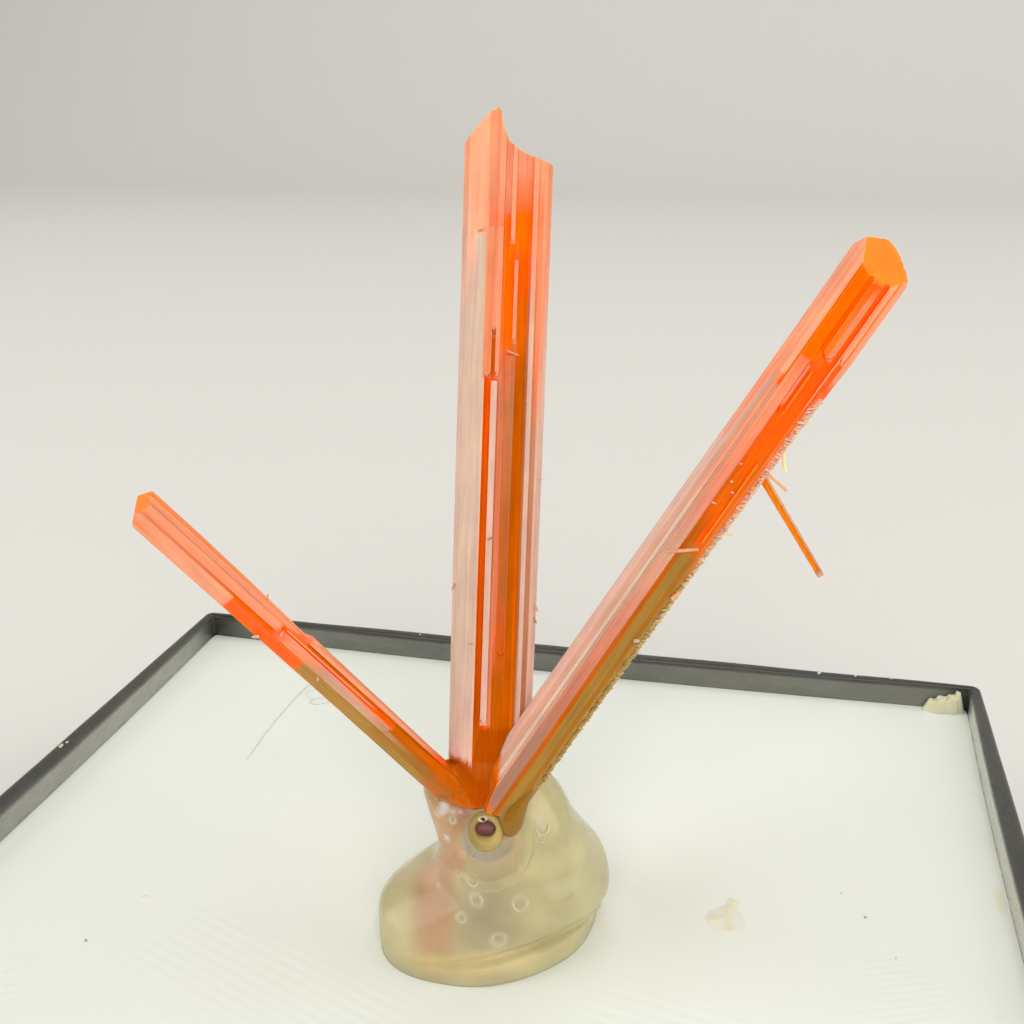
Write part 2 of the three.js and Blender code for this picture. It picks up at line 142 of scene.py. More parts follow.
class Finish:
    """A material under construction: its Principled shader, and short calls to add a node and
    to feed a socket from another one or with a plain value."""

    def __init__(self, name):
        self.material = bpy.data.materials.new(name)
        self.material.use_nodes = True
        self.tree = self.material.node_tree
        self.surface = self.tree.nodes["Principled BSDF"]

    def node(self, kind, inputs=None, **settings):
        """Adds a node, sets its properties and feeds its inputs by name or number."""
        node = self.tree.nodes.new(kind)
        for key, value in settings.items():
            setattr(node, key, value)
        for key, value in (inputs or {}).items():
            self.feed(node.inputs[key], value)
        return node

    def feed(self, socket, value):
        """Links another node's socket to this one, or sets its value."""
        if isinstance(value, bpy.types.NodeSocket):
            self.tree.links.new(value, socket)
        else:
            socket.default_value = value

    def set(self, **values):
        """Feeds the Principled shader; a name's underscores stand for spaces."""
        for key, value in values.items():
            self.feed(self.surface.inputs[key.replace("_", " ")], value)

    def ramp(self, factor, *stops):
        """A colour by a value: stops are pairs of place and colour."""
        ramp = self.node("ShaderNodeValToRGB", {"Fac": factor})
        for element, (at, colour) in zip(ramp.color_ramp.elements, stops):
            element.position = at
            element.color = (*colour, 1)
        return ramp.outputs["Color"]

    def spread(self, value, low, high, to_low, to_high):
        """A value moved from one range to another, held at its ends."""
        ranges = {
            "Value": value, "From Min": low, "From Max": high, "To Min": to_low, "To Max": to_high}
        return self.node("ShaderNodeMapRange", ranges).outputs["Result"]

    def noise(self, vector, scale, stretch=(1, 1, 1), detail=2):
        """Smooth noise over a vector, stretched along its axes."""
        moved = self.node("ShaderNodeMapping", {"Vector": vector, "Scale": stretch})
        inputs = {"Vector": moved.outputs["Vector"], "Scale": scale, "Detail": detail}
        return self.node("ShaderNodeTexNoise", inputs).outputs["Fac"]

    def scaled(self, colour, factor):
        """A colour made lighter or darker by a factor."""
        inputs = {0: colour, "Scale": factor}
        return self.node("ShaderNodeVectorMath", inputs, operation="SCALE").outputs[0]

    def product(self, first, second):
        """Two values multiplied."""
        return self.node("ShaderNodeMath", {0: first, 1: second}, operation="MULTIPLY").outputs[0]

    def here(self):
        """The place on the object, in metres."""
        return self.node("ShaderNodeTexCoord").outputs["Object"]

    def told(self, name):
        """What the mesh stores for each point under that name, by kind of value."""
        return self.node("ShaderNodeAttribute", attribute_name=name).outputs


FLOOR_HALF = 900
SWEEP_START = 330
SWEEP_RADIUS = 260
SWEEP_TOP = 1200
SWEEP_STEPS = 24


def sweep_surface(half, start, radius, top):
    """A sheet that runs flat, turns up through a quarter circle and goes on upright: a profile
    by its own length, carried sideways."""
    turn = np.linspace(0, math.pi / 2, SWEEP_STEPS)
    y = np.concatenate([[-half], start + radius * np.sin(turn), [start + radius]])
    z = np.concatenate([[0], radius * (1 - np.cos(turn)), [top]])
    x = np.array([-half, half])
    return np.stack(np.broadcast_arrays(x[None, :], y[:, None], z[:, None]), axis=2)


paper = Finish("pale_paper")
paper.set(Base_Color=(0.74, 0.73, 0.7, 1), Roughness=0.9)
skin = sweep_surface(FLOOR_HALF, SWEEP_START, SWEEP_RADIUS, SWEEP_TOP)
sweep = new_piece("studio_floor", skin.reshape(-1, 3), [joined_grid(skin, False)], paper.material)
sweep.data.shade_smooth()


# ---------------------------------------------------------------- crystals
# Three long crocoite prisms, lead chromate, that fan out of one root. Each is a bundle of
# parallel growths, so its faces carry ridges and fine steps that run the length of the crystal.
# Some growths are etched and look frosted, their pale colours partly frost and partly a painted
# reflection of the diffusers; others are glassy and show their deep orange.
FRONT = np.array([0.2, -0.81, 0.55])  # the way all three show their front faces
SLIT = 0.006  # half the width of the wall between two growths
FRONT_PITCH = 0.04  # between points round the front of an outline
BACK_PITCH = 0.12
ROW_PITCH = 0.3  # between rows of points along a plain stretch
FOOT_ROW_PITCH = 0.07
FOOT_REACH = 1.1  # how far up the rows stay that close
END_ROOM = 0.3  # how far under the end the even rows stop
SLOPE_ROOM = 1.2  # the same under a sloping end face
END_RINGS = 24  # rings drawn in over the end; the foot has one for every four of them
LANE_SHARE = 0.4  # how many of the columns start a new lane of growth
GROWTH_STEP = 0.0014  # the usual size of a step of fine growth
GROWTH_STEPS = 260  # how many places along a crystal change level
STEP_SHADE = 0.018  # how much lighter a lane gets with each step outwards
FROST_AND_SHEEN_RAG = 0.12  # how far the lower edge of the frost and painted sheen strays, and fades
FOOT_DIP = 0.22  # how far a molten foot sinks back
FOOT_ROUND = 0.93  # how far forward its round front reaches, as a share of the outline
RIDGE_POINT = 0.15  # how much lower a ridge starts in its middle than at its sides
SLOPE_SINK = 0.45  # how steeply the end drops behind where it has a sloping end face
END_SINK = 0.3  # the same where it has none
END_WAVE = 0.25  # and the wave in that

# How a growth looks: its colour, whose pale tones are partly frost and partly painted reflection,
# and the share of frost, which makes it dull.
LOOKS = {
    "cream": (0.58, 0.43, 0.35, 1.0), "milk": (0.69, 0.45, 0.37, 1.0), "peach": (0.89, 0.35, 0.21, 0.8),
    "blush": (0.58, 0.32, 0.24, 0.8), "rose": (0.82, 0.3, 0.17, 0.7), "salmon": (0.76, 0.25, 0.12, 0.5),
    "rust": (0.52, 0.23, 0.13, 0.6), "clay": (0.47, 0.125, 0.025, 0.4), "coral": (0.93, 0.19, 0.02, 0.3),
    "orange": (1.0, 0.104, 0.0, 0.0), "ember": (0.73, 0.135, 0.0, 0.0), "amber": (0.56, 0.11, 0.0, 0.1),
    "brown": (0.36, 0.145, 0.015, 0.4), "tan": (0.4, 0.21, 0.04, 0.6), "olive": (0.36, 0.2, 0.04, 0.6),
    "mauve": (0.37, 0.19, 0.135, 0.6), "umber": (0.3, 0.14, 0.015, 0.3), "flame": (1.0, 0.21, 0.0, 0.0),
    "ivory": (0.9, 0.76, 0.42, 0.3), "deep": (0.46, 0.075, 0.0, 0.0), "blaze": (1.0, 0.155, 0.0, 0.0),
}

CENTRAL = {
    "root": (0.9, -1.55, 10.09), "lean": 16.6, "bearing": -5.9,
    "section": [
        (-1.12, 0.05), (-0.98, -0.22), (-0.43, -0.66), (-0.38, -0.52), (-0.27, -0.5), (0.07, -0.57),
        (0.36, -0.48), (0.68, -0.36), (0.85, -0.28), (1.04, -0.16), (1.15, 0.05), (1.02, 0.42),
        (0.55, 0.8), (0.05, 0.92), (-0.45, 0.82), (-0.95, 0.45),
    ],
    # distance along, then the left and the right edge there
    "edges": [(0.0, -1.04, 1.06), (4.0, -1.08, 1.11), (10.0, -1.11, 1.14), (17.0, -1.13, 1.16)],
    # left and right edge, how far in front those lie, where the ridge starts and ends
    "ridges": [
        (-0.25, -0.08, 0.66, 0.67, 2.1, 10.95), (0.1, 0.34, 0.66, 0.6, 3.9, 11.6),
        (0.68, 0.79, 0.46, 0.42, 0.4, 17.4), (-0.47, -0.26, 0.69, 0.66, 11.0, 18.4),
        (-0.26, -0.17, 0.64, 0.64, 12.1, 18.4), (-0.17, -0.05, 0.65, 0.65, 11.0, 18.4),
        (0.24, 0.34, 0.62, 0.59, 11.9, 14.0), (0.13, 0.24, 0.63, 0.61, 14.4, 16.9),
    ],
    # look, left and right edge, lower and upper end, length over which the ends fade
    "growths": [
        ("cream", -1.2, -0.43, -1.0, 18.5, 0.1), ("peach", -1.2, -0.76, 14.4, 19.5, 3.5),
        ("peach", -0.76, -0.43, 14.65, 18.5, 0.06), ("milk", -1.2, -1.02, 2.5, 14.0, 5.0),
        ("milk", -1.2, -0.43, -1.0, 2.2, 2.0),
        ("amber", -0.42, -0.26, -1.0, 5.0, 5.0), ("ember", -0.42, -0.26, 5.0, 11.0, 5.0),
        ("milk", -0.25, -0.08, 2.1, 10.95, 0.02), ("salmon", -0.08, 0.01, 2.0, 12.0, 0.5),
        ("amber", 0.01, 0.36, 0.0, 4.2, 1.5), ("salmon", 0.01, 0.09, 4.2, 11.5, 1.5),
        ("clay", 0.1, 0.36, 4.2, 11.5, 2.5), ("rust", 0.1, 0.36, 10.0, 12.5, 6.0),
        ("amber", 0.36, 0.62, -1.0, 12.4, 2.0),
        ("ember", 0.5, 0.58, 1.0, 7.0, 1.5), ("rust", 0.62, 0.68, 1.0, 14.0, 2.0),
        ("milk", 0.68, 0.79, -1.0, 14.0, 4.0), ("peach", 0.68, 0.79, 14.0, 18.4, 4.0),
        ("rust", 0.79, 0.95, -1.0, 11.0, 3.0), ("salmon", 0.79, 0.95, 11.0, 15.6, 3.0),
        ("rose", 0.79, 0.95, 15.6, 18.5, 1.0), ("milk", 0.95, 1.24, -1.0, 12.0, 5.0),
        ("rose", 0.95, 1.24, 12.0, 18.5, 5.0), ("milk", 1.06, 1.24, -1.0, 13.0, 3.0),
        ("salmon", -0.47, -0.26, 11.0, 14.8, 0.02), ("rose", -0.47, -0.26, 14.8, 18.5, 2.0),
        ("ember", -0.26, -0.17, 11.0, 12.1, 0.2), ("rose", -0.26, -0.17, 12.1, 14.8, 0.2),
        ("rose", -0.26, -0.17, 14.8, 18.5, 2.0), ("rose", -0.17, -0.05, 11.0, 14.8, 0.02),
        ("peach", -0.17, -0.05, 14.8, 18.5, 2.0), ("coral", -0.05, 0.02, 12.0, 15.4, 0.5),
        ("blaze", 0.02, 0.25, 11.7, 15.15, 0.3), ("rose", -0.05, 0.24, 15.15, 18.5, 0.1),
        ("blaze", 0.25, 0.62, 14.2, 15.6, 0.8), ("rose", 0.24, 0.34, 11.9, 14.0, 0.02),
        ("peach", 0.13, 0.24, 14.4, 16.9, 0.02), ("ember", 0.34, 0.6, 11.7, 13.2, 1.5),
        ("rose", 0.24, 0.68, 15.7, 18.5, 1.1),
    ],
    # Below this outline, place across and distance along, no growth shows its frost or painted sheen.
    # The foot and the end are outlines of the same kind.
    "clear_under": [
        (-1.2, 1.2), (-0.5, 1.0), (-0.43, 0.9), (-0.25, 1.9), (0.66, 1.9), (0.7, 0.2), (1.2, 0.2),
    ],
    "foot": [(-1.4, 1.3), (-0.7, 0.6), (-0.3, -0.3), (0.35, -0.5), (1.4, 0.0)],
    "end": [
        (-1.3, 16.9), (-1.13, 17.0), (-1.05, 17.12), (-0.5, 17.66), (-0.27, 17.76), (-0.19, 17.68),
        (-0.17, 17.4), (-0.03, 17.08), (0.02, 16.98), (0.28, 16.77), (0.7, 16.63), (1.3, 16.5),
    ],
    # "melts" is one where the foot's front runs together with the saddle at the fork
    "end_plane": None, "end_look": "rose", "foot_look": "deep", "melts": 1, "seed": 3,
}
RIGHT = {
    "root": (1.45, -1.82, 10.19), "lean": 33.8, "bearing": 66.9,
    "section": [
        (-0.94, 0.0), (-0.75, -0.32), (-0.46, -0.6), (-0.15, -0.6), (-0.1, -0.54), (0.2, -0.42),
        (0.33, -0.33), (0.5, 0.0), (0.42, 0.38), (0.0, 0.62), (-0.5, 0.55), (-0.86, 0.3),
    ],
    "edges": [
        (-1.0, -1.0, 0.45), (3.0, -0.98, 0.47), (8.0, -0.95, 0.53), (10.0, -0.94, 0.57),
        (12.5, -0.92, 0.62), (14.0, -0.91, 0.7), (16.5, -0.9, 0.72),
    ],
    "ridges": [
        (-0.6, -0.5, 0.5, 0.59, 0.6, 13.0), (-0.43, -0.14, 0.655, 0.655, 0.2, 13.6),
        (-0.13, -0.05, 0.62, 0.6, 12.2, 13.5), (0.01, 0.07, 0.57, 0.55, 12.2, 13.4),
        (0.21, 0.27, 0.5, 0.45, 8.5, 10.9), (-0.03, 0.24, 0.61, 0.47, 13.8, 15.9),
        (0.32, 0.355, 0.4, 0.36, 12.6, 15.9), (0.355, 0.41, 0.38, 0.28, 13.9, 16.1),
    ],
    "growths": [
        ("milk", -1.1, -0.75, -1.0, 12.2, 3.0), ("peach", -1.1, -0.72, 12.2, 18.0, 3.0),
        ("blush", -0.75, -0.6, -1.0, 13.0, 0.1), ("rose", -0.72, -0.62, 13.0, 18.0, 0.1),
        ("cream", -0.6, -0.5, -1.0, 10.5, 3.0), ("rose", -0.6, -0.5, 10.5, 13.0, 3.0),
        ("peach", -0.62, -0.47, 13.0, 18.0, 0.1), ("blush", -0.5, -0.43, -1.0, 12.7, 0.1),
        ("ember", -0.47, -0.43, 12.7, 18.0, 0.2), ("mauve", -0.43, -0.14, -4.0, 5.0, 6.0),
        ("blush", -0.43, -0.14, 5.0, 11.0, 6.0), ("rose", -0.43, -0.14, 11.0, 13.6, 3.0),
        ("blaze", -0.43, -0.03, 13.6, 18.0, 0.05),
        ("rose", -0.13, -0.05, 12.4, 13.5, 0.1), ("coral", 0.01, 0.07, 12.2, 13.4, 0.1),
        ("ember", -0.13, 0.34, 9.0, 11.0, 2.0), ("amber", -0.13, 0.1, 8.3, 9.2, 0.3),
        ("amber", -0.14, -0.03, -1.0, 8.6, 0.8), ("olive", -0.03, 0.19, -1.0, 8.4, 0.3),
        ("brown", 0.19, 0.36, -1.0, 8.4, 0.7), ("tan", 0.32, 0.6, -1.0, 8.0, 1.2),
        ("umber", 0.16, 0.6, -4.0, 0.8, 1.2),
        ("coral", 0.21, 0.27, 8.5, 10.9, 0.02), ("ember", 0.27, 0.34, 8.3, 11.2, 0.6),
        ("coral", 0.33, 0.4, 8.2, 12.4, 1.0), ("peach", 0.4, 0.6, 8.0, 12.8, 0.8),
        ("coral", -0.03, 0.12, 13.8, 15.4, 0.8), ("salmon", 0.12, 0.24, 13.8, 15.7, 0.02),
        ("rose", 0.32, 0.355, 12.6, 16.1, 0.1), ("peach", 0.355, 0.41, 13.9, 16.3, 0.02),
        ("coral", 0.41, 0.435, 13.9, 16.4, 0.1), ("peach", 0.435, 0.6, 13.4, 16.6, 0.3),
    ],
    "clear_under": [
        (-1.1, 1.7), (-0.9, 1.1), (-0.7, 0.8), (-0.5, 0.6), (-0.38, 0.0), (-0.2, -0.2), (0.6, -0.4),
    ],
    "foot": [
        (-1.2, 1.2), (-0.95, 0.95), (-0.73, 0.7), (-0.5, 0.6), (-0.38, 0.1), (-0.3, -0.2), (0.45, -0.1),
    ],
    "end": [
        (-1.1, 16.06), (-0.94, 16.36), (-0.75, 16.66), (-0.3, 16.93), (-0.08, 16.91), (0.19, 16.78),
        (0.6, 16.46), (0.72, 16.16), (0.9, 15.7),
    ],
    # height at the middle, rise to the right and rise to the back of the sloping end face
    "end_plane": (16.745, -0.55, 1.55), "end_look": "flame", "foot_look": "ember", "melts": 0, "seed": 8,
}
LEFT = {
    "root": (0.35, -1.82, 10.28), "lean": 43.7, "bearing": -102.6,
    "section": [
        (-0.47, 0.05), (-0.13, -0.38), (0.18, -0.4), (0.38, -0.22), (0.46, 0.05), (0.25, 0.38),
        (-0.15, 0.42), (-0.4, 0.28),
    ],
    "edges": [
        (0.0, -0.5, 0.4), (1.5, -0.49, 0.38), (4.0, -0.47, 0.42), (5.85, -0.47, 0.45),
        (6.05, -0.47, 0.37), (8.0, -0.47, 0.43), (11.0, -0.47, 0.48),
    ],
    "ridges": [
        (-0.17, 0.08, 0.44, 0.46, 2.8, 6.5), (0.11, 0.17, 0.45, 0.43, 3.5, 6.5),
        (0.25, 0.43, 0.42, 0.2, 1.0, 5.85), (-0.05, 0.19, 0.42, 0.43, 6.6, 11.5),
    ],
    "growths": [
        ("peach", -0.6, -0.13, 8.0, 12.0, 0.05), ("orange", -0.6, -0.13, 5.55, 8.0, 0.05),
        ("tan", -0.6, -0.13, 2.9, 5.6, 0.1), ("olive", -0.6, -0.3, -1.0, 3.0, 0.4),
        ("brown", -0.3, 0.0, -1.0, 3.2, 0.3), ("clay", -0.6, 0.0, -1.0, 1.2, 0.7),
        ("coral", -0.4, -0.27, 10.5, 11.0, 0.3),
        ("ember", -0.13, -0.06, 6.6, 8.6, 1.0), ("salmon", -0.13, -0.06, 8.6, 12.0, 1.0),
        ("rose", -0.05, 0.19, 6.65, 12.0, 0.05), ("clay", 0.19, 0.215, 7.0, 11.2, 0.3),
        ("rose", 0.215, 0.36, 6.2, 12.0, 0.1), ("peach", 0.3, 0.36, 7.5, 11.0, 2.0),
        ("flame", 0.36, 0.5, 5.95, 12.0, 0.1), ("blush", -0.17, 0.08, 2.8, 5.7, 1.5),
        ("rose", -0.17, 0.08, 5.4, 6.5, 0.5), ("salmon", 0.0, 0.08, 2.8, 4.2, 1.0),
        ("salmon", 0.11, 0.17, 3.5, 6.5, 0.05),
        ("ember", 0.17, 0.25, 1.0, 6.4, 0.3), ("peach", 0.25, 0.5, 1.6, 5.9, 0.6),
        ("salmon", 0.36, 0.5, 1.6, 5.5, 0.6), ("amber", -0.05, 0.25, -1.0, 2.8, 0.1),
    ],
    "clear_under": [(-0.6, -1.0), (-0.2, -1.0), (-0.13, 1.0), (0.6, 0.9)],
    "foot": [(-0.8, 0.75), (-0.4, 0.4), (-0.1, -0.4), (0.3, -0.9), (0.8, -0.9)],
    "end": [(-0.7, 10.75), (-0.48, 10.9), (-0.1, 11.15), (0.15, 11.3), (0.48, 11.12), (0.7, 11.0)],
    "end_plane": (11.31, 0.0, 0.9), "end_look": "coral", "foot_look": "amber", "melts": 1, "seed": 14,
}


def crystal_axes(crystal):
    """The crystal's own frame as rows: across, behind, along. Along leans off the vertical
    towards the bearing; behind is the common front direction, less its share along, reversed."""
    lean, bearing = math.radians(crystal["lean"]), math.radians(crystal["bearing"])
    along = np.array([
        math.sin(lean) * math.sin(bearing), math.sin(lean) * math.cos(bearing), math.cos(lean)])
    front = FRONT - FRONT.dot(along) * along
    front = front / np.linalg.norm(front)
    return np.array([np.cross(along, front), -front, along])


def outline_walk(section, cuts):
    """Places round a prism's outline by arc length: even steps, a pair either side of each
    corner, which leaves the edge a narrow flat, and a pair at each cut across the front.
    Returns the places, their outward directions, their sides' numbers and which are in front."""
    section = np.array(section)
    ring = np.vstack([section, section[:1]])
    sides = np.diff(ring, axis=0)
    lengths = np.hypot(sides[:, 0], sides[:, 1])
    start = np.concatenate([[0], np.cumsum(lengths)])
    tip = np.argmax(section[:, 0])
    marks = np.concatenate([start[:-1], np.interp(cuts, section[:tip + 1, 0], start[:tip + 1])])
    marks = np.unique(np.round(marks / (3 * SLIT))) * 3 * SLIT
    steps = np.concatenate([
        np.arange(FRONT_PITCH / 2, start[tip], FRONT_PITCH),
        np.arange(start[tip], start[-1], BACK_PITCH)])
    steps = steps[np.abs(steps[:, None] - marks[None]).min(axis=1) > 0.35 * FRONT_PITCH]
    walk = np.sort(np.concatenate([steps, marks - SLIT, marks + SLIT]) % start[-1])
    side = np.clip(np.searchsorted(start, walk, side="right") - 1, 0, len(sides) - 1)
    share = (walk - start[side]) / lengths[side]
    outward = np.stack([sides[side, 1], -sides[side, 0]], axis=1) / lengths[side, None]
    return ring[side] + share[:, None] * sides[side], outward, side, side < tip


def growth_steps(columns, rows, rng):
    """Fine growth that runs lengthways: every lane of columns starts at its own level and
    changes by a small random amount at a few places along. Returns rows by columns, about
    one step in size."""
    lane = np.cumsum(rng.random(columns) < LANE_SHARE)
    level = rng.normal(0, 1, lane[-1] + 1)[lane]
    which = rng.integers(0, lane[-1] + 1, GROWTH_STEPS)
    at = rng.uniform(rows[0], rows[-1], GROWTH_STEPS)
    above = (rows[:, None] > at[None, :]) * rng.normal(0, 1, GROWTH_STEPS)
    return level[None, :] + above @ (which[:, None] == lane[None, :])


def in_world(crystal, local):
    """Points of a crystal's own frame in the part's frame."""
    return np.array(local) @ crystal_axes(crystal) + np.array(crystal["root"])


def fade_between(value, start, stop, length):
    """One between two ends and nought outside, with a slope of that length at each end."""
    rise = np.clip((value - start) / length + 0.5, 0, 1)
    return rise * np.clip((stop - value) / length + 0.5, 0, 1)


def round_front(crystal, x):
    """How far behind its middle the front of a molten foot lies: a half oval across it."""
    section = np.array(crystal["section"])
    reach = np.where(x < 0, section[:, 0].min(), section[:, 0].max())
    return FOOT_ROUND * section[:, 1].min() * np.sqrt(np.clip(1 - (x / reach) ** 2, 0, 1))


def foot_height(crystal, x):
    """Distance along at which the crystal starts, by the place across it."""
    foot = np.array(crystal["foot"])
    return np.interp(x, foot[:, 0], foot[:, 1])


def end_height(crystal, x, y):
    """Distance along at which the crystal stops: the outline of its end seen from the front,
    which sinks behind, either evenly under a sloping end face or in a slow wave."""
    end = np.array(crystal["end"])
    height = np.interp(x, end[:, 0], end[:, 1])
    if crystal["end_plane"]:
        middle, right, back = crystal["end_plane"]
        return np.minimum(height - SLOPE_SINK * np.clip(y, 0, 1), middle + right * x + back * y)
    return height + np.clip(y, 0, 1) * (END_WAVE * np.sin(4.1 * x + 2.3 * y) - END_SINK)


def row_levels(crystal, low, high):
    """Distances along at which the sides have a row of points: close together over the foot and
    past both ends of every ridge, a pair at each sharp end of a growth, and a few rows more in
    the foot and under the end."""
    ridge_ends = np.array([e for r in crystal["ridges"] for e in r[4:]])
    sharp_ends = np.array([e for g in crystal["growths"] for e in g[3:5] if g[5] < 0.2])
    rows = np.concatenate([
        np.arange(low, low + FOOT_REACH, FOOT_ROW_PITCH), np.arange(low + FOOT_REACH, high, ROW_PITCH),
        (ridge_ends[:, None] + np.array([-0.01, 0.01, 0.06, 0.12, 0.18])).ravel(),
        (sharp_ends[:, None] + np.array([-0.02, 0.02])).ravel()])
    rows = np.unique(np.round(rows[(rows > low + 0.02) & (rows < high - 0.02)], 2))
    return np.concatenate([low + np.linspace(-0.4, 0, 12), rows, high + np.array([0, 0.1, 0.25, 0.4])])


def push_ridges(crystal, x, y, along, front):
    """The sides' places towards the back, after each ridge has set its own in front. Its lower
    end is slightly pointed."""
    for left, right, rise_left, rise_right, start, stop in crystal["ridges"]:
        share = (x - left) / (right - left)
        held = front[None] & (share > 0) & (share < 1) & (along < stop)
        held &= along > start + RIDGE_POINT * np.abs(2 * share - 1)
        y = np.where(held, -(rise_left + share * (rise_right - rise_left)), y)
    return y


def side_looks(crystal, place, x, along, side, front, rng):
    """The look of every point on the sides. In front it is clear orange, blended towards each
    growth within its limits. Behind, each side has a look of its own. Under a slightly ragged
    line all is the foot's look."""
    names = rng.choice(["ember", "salmon", "rose", "peach", "milk"], len(crystal["section"]))
    behind = np.array([LOOKS[name] for name in names])[side]
    look = np.where(front[:, None], LOOKS["orange"], behind)
    look = np.repeat(look[None], len(along), axis=0)
    ragged = rng.uniform(0, FROST_AND_SHEEN_RAG, len(side))
    for name, left, right, start, stop, fade in crystal["growths"]:
        inside = front & (place > left) & (place < right)
        share = fade_between(along, start, stop, fade) * inside
        look += share[..., None] * (np.array(LOOKS[name]) - look)
    clear = np.array(crystal["clear_under"])
    line = np.interp(x, clear[:, 0], clear[:, 1])
    frost_and_sheen = np.clip((along - line - ragged) / FROST_AND_SHEEN_RAG, 0, 1)
    foot_look = np.array(LOOKS[crystal["foot_look"]])
    return foot_look + frost_and_sheen[..., None] * (look - foot_look)


def capped(points, low, high):
    """A grid that wraps round, closed by a fan to a point below its first row and one above its
    last. Returns points and blocks of faces."""
    rows, columns = points.shape[:2]
    around = np.arange(columns)
    beside, last = np.roll(around, -1), (rows - 1) * columns
    fans = np.vstack([
        np.stack([np.full(columns, rows * columns), beside, around], axis=1),
        np.stack([last + around, last + beside, np.full(columns, rows * columns + 1)], axis=1)])
    return np.vstack([points.reshape(-1, 3), [low, high]]), [joined_grid(points, True), fans]


def crystal_skin(crystal):
    """The closed skin of one prism in its own frame. Side: outline place by distance along,
    pushed forward where a ridge stands and out by the growth steps, which melt into a round
    front towards the foot, where the front sinks back. Ends: the outline drawn in to its middle,
    each point at the height of the end there. Returns points, blocks of faces and looks."""
    rng = np.random.default_rng(crystal["seed"])
    cuts = [edge for ridge in crystal["ridges"] for edge in ridge[:2]]
    cuts += [edge for growth in crystal["growths"] for edge in growth[1:3]]
    place, outward, side, front = outline_walk(crystal["section"], np.unique(cuts))
    low = max(height for _, height in crystal["foot"])
    room = SLOPE_ROOM if crystal["end_plane"] else END_ROOM
    high = min(height for _, height in crystal["end"]) - room
    rows = row_levels(crystal, low, high)

    x = np.repeat(place[None, :, 0], len(rows), axis=0)
    along = np.repeat(rows[:, None], len(place), axis=1)
    y = push_ridges(crystal, x, np.repeat(place[None, :, 1], len(rows), axis=0), along, front)
    steps = growth_steps(len(place), rows, rng)
    levels, *edges = np.array(crystal["edges"]).T
    for edge, limit in zip(edges, (place[:, 0].min(), place[:, 0].max())):
        widened = np.interp(rows, levels, edge)[:, None] - limit
        x = x + widened * np.clip(x / limit, 0, 1) ** 3
    melted = crystal["melts"] * np.clip(low + 1 - rows, 0, 1)[:, None] * front
    y = y + melted * (round_front(crystal, place[:, 0])[None] - y)
    x = x + GROWTH_STEP * steps * (1 - melted) * outward[None, :, 0]
    y = y + GROWTH_STEP * steps * (1 - melted) * outward[None, :, 1]

    upper, lower = rows > high, rows < low
    lift = (rows[upper, None] - high) / (rows[-1] - high)
    along[upper] = high + lift * (end_height(crystal, x[-1], y[-1])[None] - high)
    drop = (low - rows[lower, None]) / (low - rows[0])
    along[lower] = low + drop * (foot_height(crystal, x[0])[None] - low)
    y[lower] += FOOT_DIP * crystal["melts"] * drop**2 * front

    middle = np.array([place[:, 0].mean(), place[:, 1].mean()])
    draw = np.linspace(0, 1, END_RINGS + 2)[1:-1, None]
    top_x = x[-1] + draw * (middle[0] - x[-1])
    top_y = place[:, 1] + draw * (middle[1] - place[:, 1])
    low_x = (x[0] + draw * (middle[0] - x[0]))[::-4]
    low_y = (y[0] + draw * (middle[1] - y[0]))[::-4]
    grid = np.stack([
        np.vstack([low_x, x, top_x]), np.vstack([low_y, y, top_y]),
        np.vstack([foot_height(crystal, low_x), along, end_height(crystal, top_x, top_y)])], axis=2)
    south = [*middle, foot_height(crystal, middle[0])]
    north = [*middle, end_height(crystal, *middle)]

    look = side_looks(crystal, place[:, 0], x, along, side, front, rng)
    look *= (1 + STEP_SHADE * np.clip(steps, -2.5, 2.5))[..., None]
    end_look, foot_look = LOOKS[crystal["end_look"]], LOOKS[crystal["foot_look"]]
    looks = np.vstack([
        np.tile(foot_look, (low_x.size, 1)), look.reshape(-1, 4), np.tile(end_look, (top_x.size, 1)),
        [foot_look, end_look]])
    return *capped(grid, south, north), looks


def joined(batches):
    """Several sets of points and blocks of faces as one set."""
    starts = np.cumsum([0] + [len(points) for points, _ in batches])
    faces = [block + start for (_, blocks), start in zip(batches, starts) for block in blocks]
    return np.vstack([points for points, _ in batches]), faces


def paint(piece, looks):
    """Stores the look of each point of a piece: a colour and, where it is given, the frost."""
    looks = np.hstack([looks, np.ones((len(looks), 4 - np.shape(looks)[1]))])
    colour = piece.data.attributes.new("look", "FLOAT_COLOR", "POINT")
    colour.data.foreach_set("color", looks.astype(np.float32).ravel())


def place_grain(piece, places):
    """Stores where each point of a piece lies for the grain that runs along the crystals."""
    place = piece.data.attributes.new("place", "FLOAT_VECTOR", "POINT")
    place.data.foreach_set("vector", places.astype(np.float32).ravel())


crocoite = Finish("crocoite")
look = crocoite.told("look")
place = crocoite.told("place")["Vector"]
streaks = crocoite.spread(crocoite.noise(place, 1.0, (14, 14, 0.5), 3), 0.3, 0.7, 0.9, 1.09)
clouds = crocoite.spread(crocoite.noise(place, 1.0, (2.5, 2.5, 0.8), 3), 0.3, 0.7, 0.9, 1.08)
crocoite.set(
    Base_Color=crocoite.scaled(look["Color"], crocoite.product(streaks, clouds)),
    Roughness=crocoite.spread(look["Alpha"], 0, 1, 0.08, 0.3), IOR=1.55,
    Specular_Tint=(1.0, 0.52, 0.15, 1), Subsurface_Weight=0.5, Subsurface_Radius=(1.0, 0.45, 0.1),
    Subsurface_Scale=0.0005)
spray = [CENTRAL, RIGHT, LEFT]
skins = [crystal_skin(crystal) for crystal in spray]
points, faces = joined([
    (in_world(crystal, local), blocks) for crystal, (local, blocks, _) in zip(spray, skins)])
crystals = new_piece("crocoite_spray", points, faces, crocoite.material)
paint(crystals, np.vstack([looks for *_, looks in skins]))
place_grain(crystals, np.vstack([local for local, *_ in skins]))
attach(crystals, "root")
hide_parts("crocoite_crystals")


